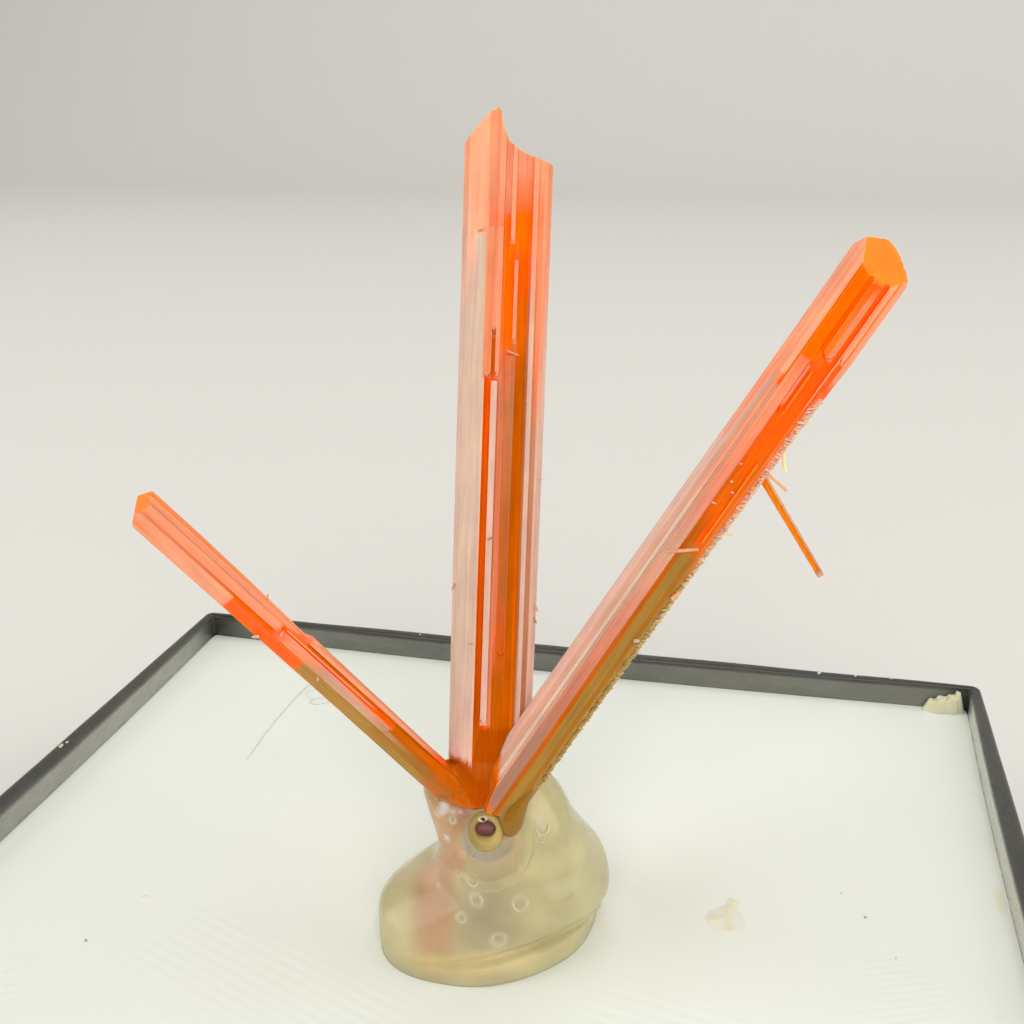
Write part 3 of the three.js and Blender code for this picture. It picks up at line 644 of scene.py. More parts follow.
# ---------------------------------------------------------------- root, crust and needles
# Below the fork the crystals share a root of short splinters, sunk in the glue. The right
# crystal's lower edge is overgrown by a crust of tiny prisms, and a few fine needles stick out.
# All of it is crocoite, grown on, not attached.
SPLINTERS = [  # foot, tip, width, look
    ((0.9, -1.0, 7.8), (0.9, -1.5, 10.7), 1.0, "amber"),
    ((0.55, -1.0, 7.9), (0.15, -1.55, 10.4), 0.7, "ember"),
    ((1.15, -1.1, 7.9), (1.6, -1.6, 10.4), 0.75, "amber"),
    ((0.8, -0.6, 8.0), (0.6, -0.9, 11.2), 0.7, "ember"),
    ((1.2, -0.7, 8.0), (1.7, -1.0, 11.0), 0.7, "brown"),
]
SADDLE_MIDDLE = (0.7, -2.0, 10.82)
SADDLE_HALF = (1.15, 0.8)
SADDLE_RINGS = 44
SADDLE_COLUMNS = 88
SADDLE_SOFTNESS = 0.1
SADDLE_SINK = 0.035
SADDLE_RIM_SINK = 0.25  # how far its rim dips besides
SADDLE_DEPTH = 1.2  # how far behind the plane it reaches
SADDLE_STAIN = 0.75  # how much of the clay look its lower rim has
SIDE_DROP = 3.0  # how steeply a crystal's height drops past its sides
FOOT_DROP = 1.4  # and past its foot
CRUST_FROM = 1.0
CRUST_TO = 13.0
CRUST_DEPTH = 0.06  # how far inside the edge the shallowest grain starts
CRUST_BAND = (-0.22, 0.16)  # how far behind the edge grains start, least and most
CRUST_TURN = (-0.1, 0.06)  # how far behind its foot a grain's tip lies
CRUST_CLIMB = (-0.02, 0.16)  # and how far along from it
CRUST_SHADES = (0.88, 1.12)  # darkest and lightest
CRUST_FROST = 0.8
CRUST_COLOURS = np.array([  # distance along the crystal, colour
    (2.0, 0.42, 0.26, 0.08), (5.0, 0.5, 0.32, 0.12), (7.0, 0.66, 0.46, 0.24), (8.5, 0.82, 0.6, 0.38),
    (10.0, 0.98, 0.5, 0.34), (13.0, 1.0, 0.56, 0.42),
])
# How many, how far inside the edge the deepest starts, least and most reach past it, least and
# most width, sides. Teeth stand out of the silhouette, grains cover the edge's two faces.
TEETH = (210, 0.16, (0.01, 0.06), (0.06, 0.11), 5)
GRAINS = (700, 0.2, (-0.02, 0.03), (0.04, 0.08), 4)
NEEDLES = [  # crystal, foot and tip as across, behind, along; width; look
    (RIGHT, (0.43, 0.0, 10.73), (3.0, -0.15, 9.54), 0.2, "flame"),
    (RIGHT, (0.46, -0.06, 10.8), (2.99, -0.2, 9.6), 0.08, "peach"),
    (RIGHT, (2.9, -0.15, 9.58), (3.03, -0.16, 9.52), 0.18, "peach"),
    (RIGHT, (0.45, -0.1, 10.85), (1.2, -0.2, 10.75), 0.08, "peach"),
    (RIGHT, (0.5, 0.1, 11.57), (0.9, 0.0, 11.07), 0.12, "ivory"),
    (RIGHT, (-0.33, -0.66, 7.95), (0.27, -0.5, 8.42), 0.1, "peach"),
    (RIGHT, (0.4, -0.05, 8.95), (0.75, -0.15, 9.15), 0.07, "ivory"),
]
CHIPS = [  # the same
    (RIGHT, (-0.13, -0.62, 9.55), (-0.02, -0.6, 9.57), 0.05, "milk"),
    (RIGHT, (-0.05, -0.6, 10.2), (0.0, -0.6, 10.24), 0.06, "milk"),
    (RIGHT, (0.1, -0.53, 10.0), (0.2, -0.5, 10.02), 0.04, "milk"),
    (RIGHT, (-0.12, -0.62, 10.68), (-0.05, -0.62, 10.72), 0.04, "milk"),
    (RIGHT, (0.42, -0.3, 7.0), (0.52, -0.3, 7.35), 0.12, "peach"),
    (RIGHT, (0.25, -0.4, 5.6), (0.38, -0.36, 5.7), 0.12, "cream"),
    (CENTRAL, (-0.7, -0.52, 14.72), (-0.57, -0.62, 14.74), 0.05, "rust"),
    (CENTRAL, (-0.62, -0.55, 4.2), (-0.48, -0.65, 4.22), 0.04, "rust"),
    (CENTRAL, (-0.2, -0.69, 6.9), (-0.08, -0.68, 6.98), 0.06, "tan"),
    (CENTRAL, (0.12, -0.66, 11.7), (0.46, -0.55, 11.6), 0.06, "rose"),
    (CENTRAL, (0.62, -0.44, 10.4), (0.72, -0.44, 10.38), 0.04, "rust"),
    (CENTRAL, (1.0, -0.1, 8.5), (1.18, -0.02, 8.46), 0.05, "milk"),
    (CENTRAL, (1.02, -0.05, 5.3), (1.17, -0.02, 5.0), 0.09, "peach"),
    (CENTRAL, (1.02, -0.05, 4.9), (1.15, -0.02, 4.7), 0.07, "tan"),
    (CENTRAL, (-1.02, -0.12, 5.7), (-1.12, -0.05, 5.5), 0.05, "rust"),
    (LEFT, (-0.42, -0.1, 6.85), (-0.56, -0.08, 6.98), 0.09, "milk"),
    (LEFT, (0.38, -0.15, 7.35), (0.5, -0.12, 7.42), 0.07, "peach"),
    (LEFT, (-0.08, -0.47, 6.53), (0.07, -0.48, 6.55), 0.05, "milk"),
    (LEFT, (-0.27, -0.4, 5.07), (-0.2, -0.41, 5.15), 0.05, "milk"),
]


def circle(count):
    """Evenly spaced angles once round."""
    return np.linspace(0, 2 * np.pi, count, endpoint=False)


def shards(feet, tips, widths, sides, shoulder):
    """Many closed tapering prisms at once. Each is a ring round its foot, a slightly smaller
    ring at a shoulder, that share of the way along, and a point at either end. Returns points
    and blocks of faces."""
    feet, tips, widths = np.array(feet, float), np.array(tips, float), np.array(widths, float)
    line = tips - feet
    line /= np.linalg.norm(line, axis=1)[:, None]
    side = np.cross(line, np.where(np.abs(line[:, 2:]) < 0.8, [[0, 0, 1.0]], [[1.0, 0, 0]]))
    side /= np.linalg.norm(side, axis=1)[:, None]
    turn = circle(sides)[None, :, None]
    ring = np.cos(turn) * side[:, None] + np.sin(turn) * np.cross(line, side)[:, None]
    ring = ring * widths[:, None, None] / 2
    chest = feet + shoulder * (tips - feet)
    points = np.concatenate([
        feet[:, None] + ring, chest[:, None] + 0.85 * ring, feet[:, None], tips[:, None]], axis=1)
    here = np.arange(sides)
    beside = np.roll(here, -1)
    walls = np.stack([here, beside, beside + sides, here + sides], axis=1)
    low = np.stack([np.full(sides, 2 * sides), beside, here], axis=1)
    high = np.stack([here + sides, beside + sides, np.full(sides, 2 * sides + 1)], axis=1)
    starts = np.arange(len(feet))[:, None, None] * (2 * sides + 2)
    blocks = [walls[None] + starts, np.vstack([low, high])[None] + starts]
    return points.reshape(-1, 3), [block.reshape(-1, block.shape[2]) for block in blocks]


def grown_piece(name, points, faces, looks):
    """One crocoite piece, painted with a look for every point."""
    piece = new_piece(name, points, faces, crocoite.material)
    paint(piece, looks)
    place_grain(piece, points)
    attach(piece, "root")
    return piece


def shard_piece(name, feet, tips, widths, looks, sides, shoulder):
    """A crocoite piece made of shards, each with a named look."""
    points, faces = shards(feet, tips, widths, sides, shoulder)
    looks = np.repeat([LOOKS[look] for look in looks], len(points) // len(feet), axis=0)
    return grown_piece(name, points, faces, looks)


def ease(value):
    """A soft step from nought to one."""
    value = np.clip(value, 0, 1)
    return value * value * (3 - 2 * value)


def saddle(middle, half):
    """The clear orange mass that fills the corners where the crystals meet. Over a plane that
    faces the common front, each crystal's front has a height, which drops at a steady slope past
    its sides and its foot. The saddle's own height is their soft maximum,
    s * log(sum(exp(height / s))), a little lowered, so it stands out in the corners alone.
    Returns the grid, from behind to the middle of the front, and its looks."""
    front = FRONT / np.linalg.norm(FRONT)
    across = crystal_axes(CENTRAL)[0]
    up = np.cross(front, across)
    turn = circle(SADDLE_COLUMNS)[None]
    share = np.linspace(1, 0.02, SADDLE_RINGS)[:, None]
    x, y = half[0] * share * np.cos(turn), half[1] * share * np.sin(turn)
    flat = x[..., None] * across + y[..., None] * up
    flat = flat + np.array(middle)
    heights = []
    for crystal in spray:
        axes, section = crystal_axes(crystal), np.array(crystal["section"])
        tip = np.argmax(section[:, 0])
        local = (flat - crystal["root"]) @ axes.T
        x = local[..., 0]
        face = np.interp(x, section[:tip + 1, 0], section[:tip + 1, 1])
        face += crystal["melts"] * (round_front(crystal, x) - face)
        height = (local[..., 1] - face) / -(front @ axes[1])
        past = np.maximum(section[0, 0] - x, x - section[tip, 0])
        below = foot_height(crystal, x) - (local[..., 2] + height * (front @ axes[2]))
        height = height - SIDE_DROP * np.clip(past, 0, None)
        heights.append(height - FOOT_DROP * np.clip(below, 0, None))
    weights = np.exp(np.array(heights) / SADDLE_SOFTNESS)
    height = SADDLE_SOFTNESS * np.log(weights.sum(axis=0)) - SADDLE_SINK
    height = height - SADDLE_RIM_SINK * ease((share - 0.7) / 0.3)
    look = np.array([LOOKS["deep"], LOOKS["ember"], LOOKS["amber"]])
    look = np.einsum("kij,kc->ijc", weights / weights.sum(axis=0), look)
    rim = ease((share - 0.62) / 0.3) * ease(-1.5 * np.sin(turn) - 0.2)
    look += SADDLE_STAIN * rim[..., None] * (np.array(LOOKS["clay"]) - look)
    behind = flat[:1] - SADDLE_DEPTH * front
    skin = np.concatenate([behind, flat + height[..., None] * front])
    return skin, np.concatenate([look[:1], look])


def closed(grid):
    """A grid that wraps round, closed over the middles of its first and its last row."""
    return capped(grid, grid[0].mean(axis=0), grid[-1].mean(axis=0))


def crust_batch(count, depth, reach, size, sides):
    """Grains scattered along the right crystal's lower edge, pointing out of it at random, and
    the looks of their points."""
    rng = np.random.default_rng(count)
    along = CRUST_FROM + (CRUST_TO - CRUST_FROM) * (np.arange(count) + rng.random(count)) / count
    levels, _, lower_edge = np.array(RIGHT["edges"]).T
    edge = np.interp(along, levels, lower_edge)
    feet = np.stack([
        edge - rng.uniform(CRUST_DEPTH, depth, count), rng.uniform(*CRUST_BAND, count),
        along - 0.05], axis=1)
    out = rng.uniform(*reach, count)
    tips = feet + np.stack([
        edge - feet[:, 0] + out, rng.uniform(*CRUST_TURN, count),
        rng.uniform(*CRUST_CLIMB, count)], axis=1)
    colour = [np.interp(along, CRUST_COLOURS[:, 0], channel) for channel in CRUST_COLOURS[:, 1:].T]
    look = np.column_stack([*colour, np.full(count, CRUST_FROST)])
    look = look * rng.uniform(*CRUST_SHADES, count)[:, None]
    widths = rng.uniform(*size, count)
    points, faces = shards(in_world(RIGHT, feet), in_world(RIGHT, tips), widths, sides, 0.6)
    return points, faces, np.repeat(look, len(points) // count, axis=0)


foot, tip, width, look = zip(*SPLINTERS)
shard_piece("crocoite_root", foot, tip, width, look, sides=7, shoulder=0.92)

skin, look = saddle(SADDLE_MIDDLE, SADDLE_HALF)
look = np.vstack([look.reshape(-1, 4), look[0, :1], look[-1, :1]])
saddle_piece = grown_piece("crocoite_saddle", *closed(skin), look)
saddle_piece.data.shade_smooth()

batches = [crust_batch(*TEETH), crust_batch(*GRAINS)]
points, faces = joined([batch[:2] for batch in batches])
grown_piece("crocoite_crust", points, faces, np.vstack([look for *_, look in batches]))

for name, rows, sides, shoulder in (
        ("crocoite_needles", NEEDLES, 6, 0.97), ("crocoite_chips", CHIPS, 5, 0.7)):
    home, foot, tip, width, look = zip(*rows)
    foot, tip = ([in_world(crystal, end) for crystal, end in zip(home, ends)] for ends in (foot, tip))
    shard_piece(name, foot, tip, width, look, sides, shoulder)


# ---------------------------------------------------------------- glue
# The dollop of hot-melt glue that holds the root: cloudy, honey coloured and partly see-through,
# with the orange root's tint in it partly seen through it and partly painted as a glow. It set over a
# thin foot. A drop drawn over the stub of a broken crystal makes a nipple in a socket, with shells of
# glue round it, and burst bubbles left rings. Highlights on the neck and round the rings, light over
# shade and the socket's grey reflection are painted into its colour.
INSERT_TOP = 5.5
GLUE_SECTIONS = np.array([  # height above the insert, left, right, front, back
    (0.0, -2.12, 3.6, -3.18, 2.1), (0.5, -2.24, 3.62, -3.08, 2.15), (1.1, -2.22, 3.92, -2.92, 2.15),
    (1.6, -1.6, 3.94, -2.8, 2.1), (2.1, -0.86, 3.72, -2.75, 2.0), (2.7, -0.7, 3.36, -2.65, 1.85),
    (3.4, -0.76, 3.06, -2.5, 1.6), (4.0, -0.92, 2.88, -2.35, 1.3), (4.5, -1.0, 2.56, -2.2, 0.95),
    (4.9, -0.45, 2.2, -1.85, 0.6), (5.25, 0.6, 1.9, -1.1, 0.2),
])
GLUE_SKEW = 0.3  # how steeply the lowest section slants back to the right
SKEW_TOP = 3.5  # height above the insert where nothing slants any more
GLUE_WAVE = 0.07  # how far a ring waves in and out
FRONT_BORDER = -1.2  # the front's detail starts here, towards -Y
GLUE_CROWN = (1.4, -0.4, 5.4)
FOOT_MIDDLE = np.array([1.15, -0.85])
FOOT_LEDGE = 0.28
LEDGE_TOWARDS = (0.643, -0.766)  # the way the ledge stands out furthest
FOOT_THICKNESS = 0.6
CREASE_DEPTH = 0.06
CREASE_WIDTH = 0.06
CREASE_LIFT = 0.04  # how far above the foot's top it runs
NIPPLE_FROM = np.array([0.92, -1.55, 9.15])
NIPPLE_TO = np.array([1.1, -2.55, 9.83])
SHELL_MIDDLE = np.array([1.08, -2.35, 9.3])
SHELL_STEPS = [(1.25, 0.03), (0.95, 0.03)]  # radius of a shell of glue and its step down
SHELL_EDGE = 0.07  # how wide a step is
SOCKET_MIDDLE = NIPPLE_FROM + 0.66 * (NIPPLE_TO - NIPPLE_FROM)
SOCKET_RADIUS = 0.67
SOCKET_DEPTH = 0.07
SOCKET_WIDTH = 0.12
SOCKET_REFLECTION_WIDTH = 0.13
GLUE_LEVELS = 190
GLUE_COLUMNS = 380
BUBBLE_DEPTH = 0.3  # of a burst bubble's dish, as a share of its radius
BUBBLES = [  # place, radius and how much of the ring is left
    ((0.88, -2.73, 7.82), 0.17, 1.0), ((2.04, -2.64, 7.82), 0.19, 0.7), ((1.48, -2.7, 6.65), 0.18, 1.0),
    ((0.48, -2.74, 7.22), 0.12, 1.0), ((0.36, -2.48, 8.4), 0.08, 0.8), ((0.8, -2.64, 8.37), 0.15, 0.5),
    ((-0.34, -1.99, 7.56), 0.06, 1.0), ((-0.56, -1.24, 7.9), 0.12, 0.6), ((-0.05, -2.12, 9.12), 0.08, 0.8),
    ((0.1, -2.1, 9.72), 0.1, 1.0), ((3.3, -1.7, 7.6), 0.07, 1.0), ((2.7, 1.2, 8.0), 0.14, 0.8),
    ((0.9, 1.6, 8.3), 0.1, 1.0), ((3.7, 0.3, 8.8), 0.12, 0.7), ((-1.6, 0.9, 7.0), 0.1, 1.0),
    ((2.36, -1.68, 9.56), 0.19, 0.55), ((2.32, -1.8, 9.36), 0.13, 0.6), ((0.76, -2.44, 8.98), 0.08, 1.0),
]
GLUE_BUMPS = [  # place, radius, height
    ((-0.15, -1.9, 10.05), 0.15, 0.08), ((-0.22, -1.85, 9.85), 0.1, 0.05), ((0.0, -2.0, 10.1), 0.09, 0.05),
    ((0.3, -2.1, 10.0), 0.08, 0.05), ((0.48, -2.16, 9.95), 0.07, 0.05), ((0.12, -2.06, 9.9), 0.07, 0.04),
    ((-0.41, -1.8, 9.64), 0.08, 0.04), ((-0.06, -2.1, 9.18), 0.09, 0.04), ((0.14, -2.1, 9.62), 0.09, 0.03),
    ((2.36, -1.7, 9.55), 0.2, 0.04), ((2.6, -1.2, 10.1), 0.4, 0.04), ((-1.2, -2.2, 7.3), 0.7, 0.04),
    ((1.7, 1.4, 9.0), 0.5, 0.07), ((0.2, 1.2, 8.2), 0.6, 0.08), ((3.6, 1.0, 7.2), 0.7, 0.06),
]
ACROSS = np.array([0.976, 0.22, 0.0])  # the way the glue's front runs
HONEY = (0.72, 0.65, 0.37)
BUBBLE_HIGHLIGHT_COLOUR = (0.82, 0.75, 0.55)
SOCKET_REFLECTION_COLOUR = (0.6, 0.59, 0.5)
GLUE_TINTS_AND_PAINTED_LIGHT = [  # colour, middle, reach across, behind and upwards. Some are tones of the glue; some are the orange root seen through it, its light painted as a glow; some paint light over shade; the near white ones are painted highlights
    ((0.84, 0.76, 0.48), (-1.7, -1.0, 7.0), (0.8, 1.6, 1.3)),
    ((0.8, 0.75, 0.45), (3.6, -0.6, 7.7), (0.7, 1.6, 1.2)),
    # painted light over the shadow of the right crystal
    ((0.82, 0.76, 0.42), (2.5, -1.4, 9.9), (0.9, 1.2, 0.8)),
    ((0.55, 0.47, 0.3), (1.25, -2.9, 7.2), (1.1, 0.9, 1.5)),
    # the orange root seen through the glue, its light painted as a glow
    ((0.645, 0.4, 0.255), (-0.3, -2.6, 7.3), (0.64, 1.6, 1.75)),
    ((0.72, 0.41, 0.245), (-0.45, -1.9, 8.7), (0.6, 1.6, 1.3)),
    ((0.64, 0.37, 0.2), (0.0, -1.9, 9.9), (0.75, 0.9, 0.6)),
    ((0.74, 0.28, 0.07), (-0.5, -1.4, 10.2), (0.35, 0.7, 0.3)),
    ((0.72, 0.45, 0.26), (0.3, -2.4, 8.75), (0.25, 0.5, 0.25)),
    # painted light over the shade in the crease between the neck and the left lobe
    ((0.98, 0.66, 0.44), (-0.75, -1.6, 7.57), (0.5, 0.6, 0.3)),
    ((0.88, 0.74, 0.4), (1.7, -3.0, 6.15), (1.3, 0.6, 0.3)),
    ((0.82, 0.66, 0.33), (0.3, -3.2, 6.0), (1.3, 0.6, 0.25)),
    # the two near white ones are painted highlights on the neck's bumps
    ((1.0, 0.98, 0.92), (-0.15, -1.85, 10.0), (0.17, 0.3, 0.2)),
    ((0.98, 0.9, 0.8), (-0.27, -1.8, 9.8), (0.12, 0.3, 0.12)),
    ((0.86, 0.6, 0.48), (0.1, -2.05, 9.95), (0.13, 0.3, 0.1)),
    ((0.62, 0.3, 0.26), (0.44, -2.15, 9.98), (0.16, 0.3, 0.1)),
    ((0.88, 0.66, 0.58), (0.32, -2.1, 10.02), (0.07, 0.3, 0.05)),
    # a painted highlight on a bump
    ((0.92, 0.86, 0.75), (-0.06, -2.1, 9.18), (0.09, 0.2, 0.07)),
    ((0.86, 0.62, 0.45), (-0.4, -1.8, 9.64), (0.1, 0.3, 0.12)),
]


def smooth_path(knots, count):
    """Catmull-Rom interpolation of rows of numbers, evenly spaced in knot number."""
    knots = np.asarray(knots, float)
    padded = np.vstack([2 * knots[0] - knots[1], knots, 2 * knots[-1] - knots[-2]])
    at = np.linspace(0, len(knots) - 1, count)
    i = np.minimum(at.astype(int), len(knots) - 2)
    t = (at - i)[:, None]
    p0, p1, p2, p3 = (padded[i + k] for k in range(4))
    return 0.5 * (
        2 * p1 + (p2 - p0) * t + (2 * p0 - 5 * p1 + 4 * p2 - p3) * t**2
        + (3 * p1 - p0 - 3 * p2 + p3) * t**3)


def foot_thickness(x):
    """Height of the crease above the foot: the foot gets thicker to the right."""
    return FOOT_THICKNESS + 0.12 * (x - 1)


def glue_rings():
    """The dollop without detail: oval rings through the sections' four sides, slanted more the
    lower they lie, a slow wave round each, the ledge of the foot, which stands out in front and
    to the right, then rings that shrink to the crown and, below, to the middle of the base."""
    rows = smooth_path(GLUE_SECTIONS, GLUE_LEVELS)
    z, left, right, front, back = (rows[:, i, None] for i in range(5))
    angle = circle(GLUE_COLUMNS)[None]
    share = np.linspace(0, 1, GLUE_LEVELS)[:, None]
    wave = GLUE_WAVE * np.sin(3 * angle + 14 * share) * np.sin(np.pi * share)
    x = (left + right) / 2 + ((right - left) / 2 + wave) * np.cos(angle)
    y = (front + back) / 2 + ((back - front) / 2 + wave) * np.sin(angle)
    y = y + GLUE_SKEW * np.clip(1 - z / SKEW_TOP, 0, 1) * (x - (left + right) / 2)
    z = np.repeat(z, GLUE_COLUMNS, axis=1)
    out = np.stack([x, y], axis=2) - FOOT_MIDDLE
    reach = np.linalg.norm(out, axis=2)
    thickness = foot_thickness(x)
    facing = LEDGE_TOWARDS[0] * out[..., 0] + LEDGE_TOWARDS[1] * out[..., 1]
    facing = ease(1.6 * facing / reach - 0.45)
    ledge = FOOT_LEDGE * facing * ease((thickness - z) / 0.12)
    ledge = ledge * (1 - 0.35 * np.abs(2 * z / thickness - 1) ** 3)
    x = FOOT_MIDDLE[0] + out[..., 0] * (1 + ledge / reach)
    y = FOOT_MIDDLE[1] + out[..., 1] * (1 + ledge / reach)
    draw = np.sin(np.linspace(0, np.pi / 2, 12))[1:, None]
    top = [
        x[-1] + draw * (GLUE_CROWN[0] - x[-1]), y[-1] + draw * (GLUE_CROWN[1] - y[-1]),
        z[-1] + np.sqrt(1 - (1 - draw) ** 2) * (GLUE_CROWN[2] - z[-1])]
    shrink = np.linspace(0.05, 1, 8)[:-1, None]
    base = [
        x[0].mean() + shrink * (x[0] - x[0].mean()), y[0].mean() + shrink * (y[0] - y[0].mean()),
        np.zeros((len(shrink), GLUE_COLUMNS))]
    parts = zip(base, (x, y, z), top)
    return np.stack([np.vstack(part) for part in parts], axis=2) + (0, 0, INSERT_TOP)


def grid_normals(points):
    """Outward directions of a grid that wraps round, from the steps along and across it."""
    around = np.roll(points, -1, axis=1) - np.roll(points, 1, axis=1)
    normal = np.cross(around, np.gradient(points, axis=0))
    return normal / np.maximum(np.linalg.norm(normal, axis=2), 1e-9)[..., None]


def bell(value, width):
    """One at nought, falling off as a bell to both sides."""
    return np.exp(-((value / width) ** 2))


def front_share(points):
    """One on the dollop's front and nought behind it, with a soft border."""
    return ease((FRONT_BORDER - points[..., 1]) / 0.4)


def glue_skin():
    """The dollop with its detail: bumps, the dished insides of burst bubbles, a crease above
    the foot, the socket round the nipple and the shells that step down away from it."""
    points = glue_rings()
    out = grid_normals(points)
    height = np.zeros(points.shape[:2])
    for place, radius, rise in GLUE_BUMPS:
        height += rise * bell(np.linalg.norm(points - place, axis=2), radius)
    for place, radius, kept in BUBBLES:
        height -= BUBBLE_DEPTH * radius * kept * bell(np.linalg.norm(points - place, axis=2), radius)
    above = points[..., 2] - INSERT_TOP - foot_thickness(points[..., 0])
    front_right = ease((points[..., 0] - 0.9 * points[..., 1] - 1.6) / 1.6)
    height -= CREASE_DEPTH * front_right * bell(above - CREASE_LIFT, CREASE_WIDTH)
    arm = points - SHELL_MIDDLE
    away = np.linalg.norm(arm, axis=2)
    lower_right = ease((arm[..., 0] - 1.6 * arm[..., 2]) / 0.5 + 0.6)
    lower_right = lower_right * ease((0.35 - arm[..., 2]) / 0.3)
    front = front_share(points)
    for radius, step in SHELL_STEPS:
        height += step * ease((radius - away) / SHELL_EDGE) * lower_right * front
    arm = points - SOCKET_MIDDLE
    below = ease(0.6 - 1.3 * arm[..., 2] - 0.5 * arm[..., 0]) * front
    height -= SOCKET_DEPTH * below * bell(np.linalg.norm(arm, axis=2) - SOCKET_RADIUS, SOCKET_WIDTH)
    return points + height[..., None] * out


def glue_looks(points):
    """The colour of the glue at each point: honey, blended towards each tint about its middle, among
    them painted glow, highlights and light over shade; paler round the burst bubbles' rims as painted
    highlights and greyer in the socket as a painted reflection."""
    colour = np.broadcast_to(np.array(HONEY), points.shape).copy()
    turn = np.stack([ACROSS, np.cross([0, 0, 1], ACROSS), [0, 0, 1]])
    for tint, middle, reach in GLUE_TINTS_AND_PAINTED_LIGHT:
        share = np.exp(-(np.linalg.norm((points - middle) @ turn.T / reach, axis=2) ** 4))
        colour += share[..., None] * (np.array(tint) - colour)
    # Painted highlights round the rims of the burst bubbles.
    for place, radius, kept in BUBBLES:
        away = np.linalg.norm(points - place, axis=2) / radius
        share = 0.8 * kept * bell(away - 1, 0.45)
        colour += share[..., None] * (BUBBLE_HIGHLIGHT_COLOUR - colour)
    # The socket's grey is a painted reflection.
    arm = points - SOCKET_MIDDLE
    ring = np.exp(-(((np.linalg.norm(arm, axis=2) - SOCKET_RADIUS) / SOCKET_REFLECTION_WIDTH) ** 4))
    ring *= ease((-0.12 - arm[..., 2]) / 0.35) * front_share(points)
    return colour + 0.8 * ring[..., None] * (SOCKET_REFLECTION_COLOUR - colour)


def smooth_piece(name, body, material):
    """A smooth shaded piece from points and blocks of faces, riding on the root."""
    piece = new_piece(name, *body, material)
    piece.data.shade_smooth()
    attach(piece, "root")
    return piece


set_glue = Finish("set_glue")
look = set_glue.told("look")["Color"]
clouds = set_glue.spread(set_glue.noise(set_glue.here(), 900, (1, 1, 0.7), 3), 0.3, 0.7, 0.92, 1.08)
set_glue.set(
    Base_Color=set_glue.scaled(look, clouds), Roughness=set_glue.spread(clouds, 0.92, 1.08, 0.14, 0.26),
    IOR=1.48, Transmission_Weight=0.5, Subsurface_Weight=0.4, Subsurface_Radius=(1.0, 0.8, 0.4),
    Subsurface_Scale=0.0012)
absorption = set_glue.node("ShaderNodeVolumeAbsorption", {"Color": (0.9, 0.8, 0.5, 1), "Density": 60})
set_glue.feed(set_glue.tree.nodes["Material Output"].inputs["Volume"], absorption.outputs["Volume"])

skin = glue_skin()
floor = [*skin[0, :, :2].mean(axis=0), INSERT_TOP]
crown = np.array(GLUE_CROWN) + (0, 0, INSERT_TOP)
glue = smooth_piece("set_glue", capped(skin, floor, crown), set_glue.material)
paint(glue, np.vstack([glue_looks(skin).reshape(-1, 3), [HONEY, HONEY]]))
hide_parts("mounting_glue")


def turned(profile, at, axis, around, up=(0, 0, 1)):
    """The grid of a body of revolution. Each profile row is a radius, a distance along the axis, a
    shift upwards of its middle and how far it is squeezed that way."""
    radius, along, shift, squeeze = (np.array(profile)[:, i, None] for i in range(4))
    axis = np.array(axis) / np.linalg.norm(axis)
    side = np.cross(up, axis)
    side /= np.linalg.norm(side)
    upward = np.cross(axis, side)
    turn = circle(around)[None]
    x, y = radius * np.cos(turn), radius * np.sin(turn) * squeeze + shift
    along = np.repeat(along, around, axis=1)
    ring = x[..., None] * side + y[..., None] * upward + along[..., None] * axis
    return ring + np.array(at)


NIPPLE_PROFILE = [  # radius, distance along, shift upwards, squeeze
    (0.3, -0.4, 0, 1.1), (0.4, -0.38, 0, 1.1), (0.43, -0.2, 0, 1.12), (0.46, 0.0, 0, 1.12),
    (0.46, 0.12, 0, 1.12), (0.44, 0.22, 0, 1.12), (0.4, 0.29, 0, 1.12), (0.34, 0.315, 0.02, 1.08),
    (0.29, 0.3, 0.05, 0.9), (0.25, 0.26, 0.06, 0.72), (0.23, 0.2, 0.07, 0.65), (0.19, 0.14, 0.07, 0.62),
    (0.1, 0.1, 0.07, 0.6), (0.03, 0.09, 0.07, 0.6),
]
HOLLOW_FROM = 9  # the first row of the profile that lies in the hollow
HOLLOW_ROWS = 3  # over how many rows its glow comes up
NIPPLE_PAINTED_SHADING = 0.3  # painted light and shade: how much lighter its right side is than the middle, and its left darker
NIPPLE_COLUMNS = 48
NIPPLE_COLOUR = (0.58, 0.43, 0.125)
# The hollow is painted dark as the shade in it.
HOLLOW_SHADE_COLOUR = (0.15, 0.05, 0.045)
HOLLOW_GLOW = (0.25, 0.12, 0.12)  # the painted glow that the bottom of the hollow adds to its colour

axis = NIPPLE_TO - NIPPLE_FROM
nipple_skin = turned(NIPPLE_PROFILE, NIPPLE_FROM + 0.75 * axis, axis, NIPPLE_COLUMNS)
nipple = smooth_piece("glue_nipple", closed(nipple_skin), set_glue.material)
row = np.append(np.repeat(np.arange(len(NIPPLE_PROFILE)), NIPPLE_COLUMNS), [0, len(NIPPLE_PROFILE)])
turn = circle(NIPPLE_COLUMNS)
side = np.append(np.tile(np.cos(turn), len(NIPPLE_PROFILE)), [0, 0])
# The right side is painted lighter and the left darker, as light and shade fall on it.
shade = np.array(NIPPLE_COLOUR) * (1 + NIPPLE_PAINTED_SHADING * side[:, None])
deep = np.clip((row[:, None] - HOLLOW_FROM) / HOLLOW_ROWS, 0, 1)
paint(nipple, np.where(row[:, None] >= HOLLOW_FROM, HOLLOW_SHADE_COLOUR + deep * HOLLOW_GLOW, shade))


TUBE_SIDES = 10
RING_STEPS = 40
RING_TUBE = 0.14  # thickness of a ring as a share of its radius


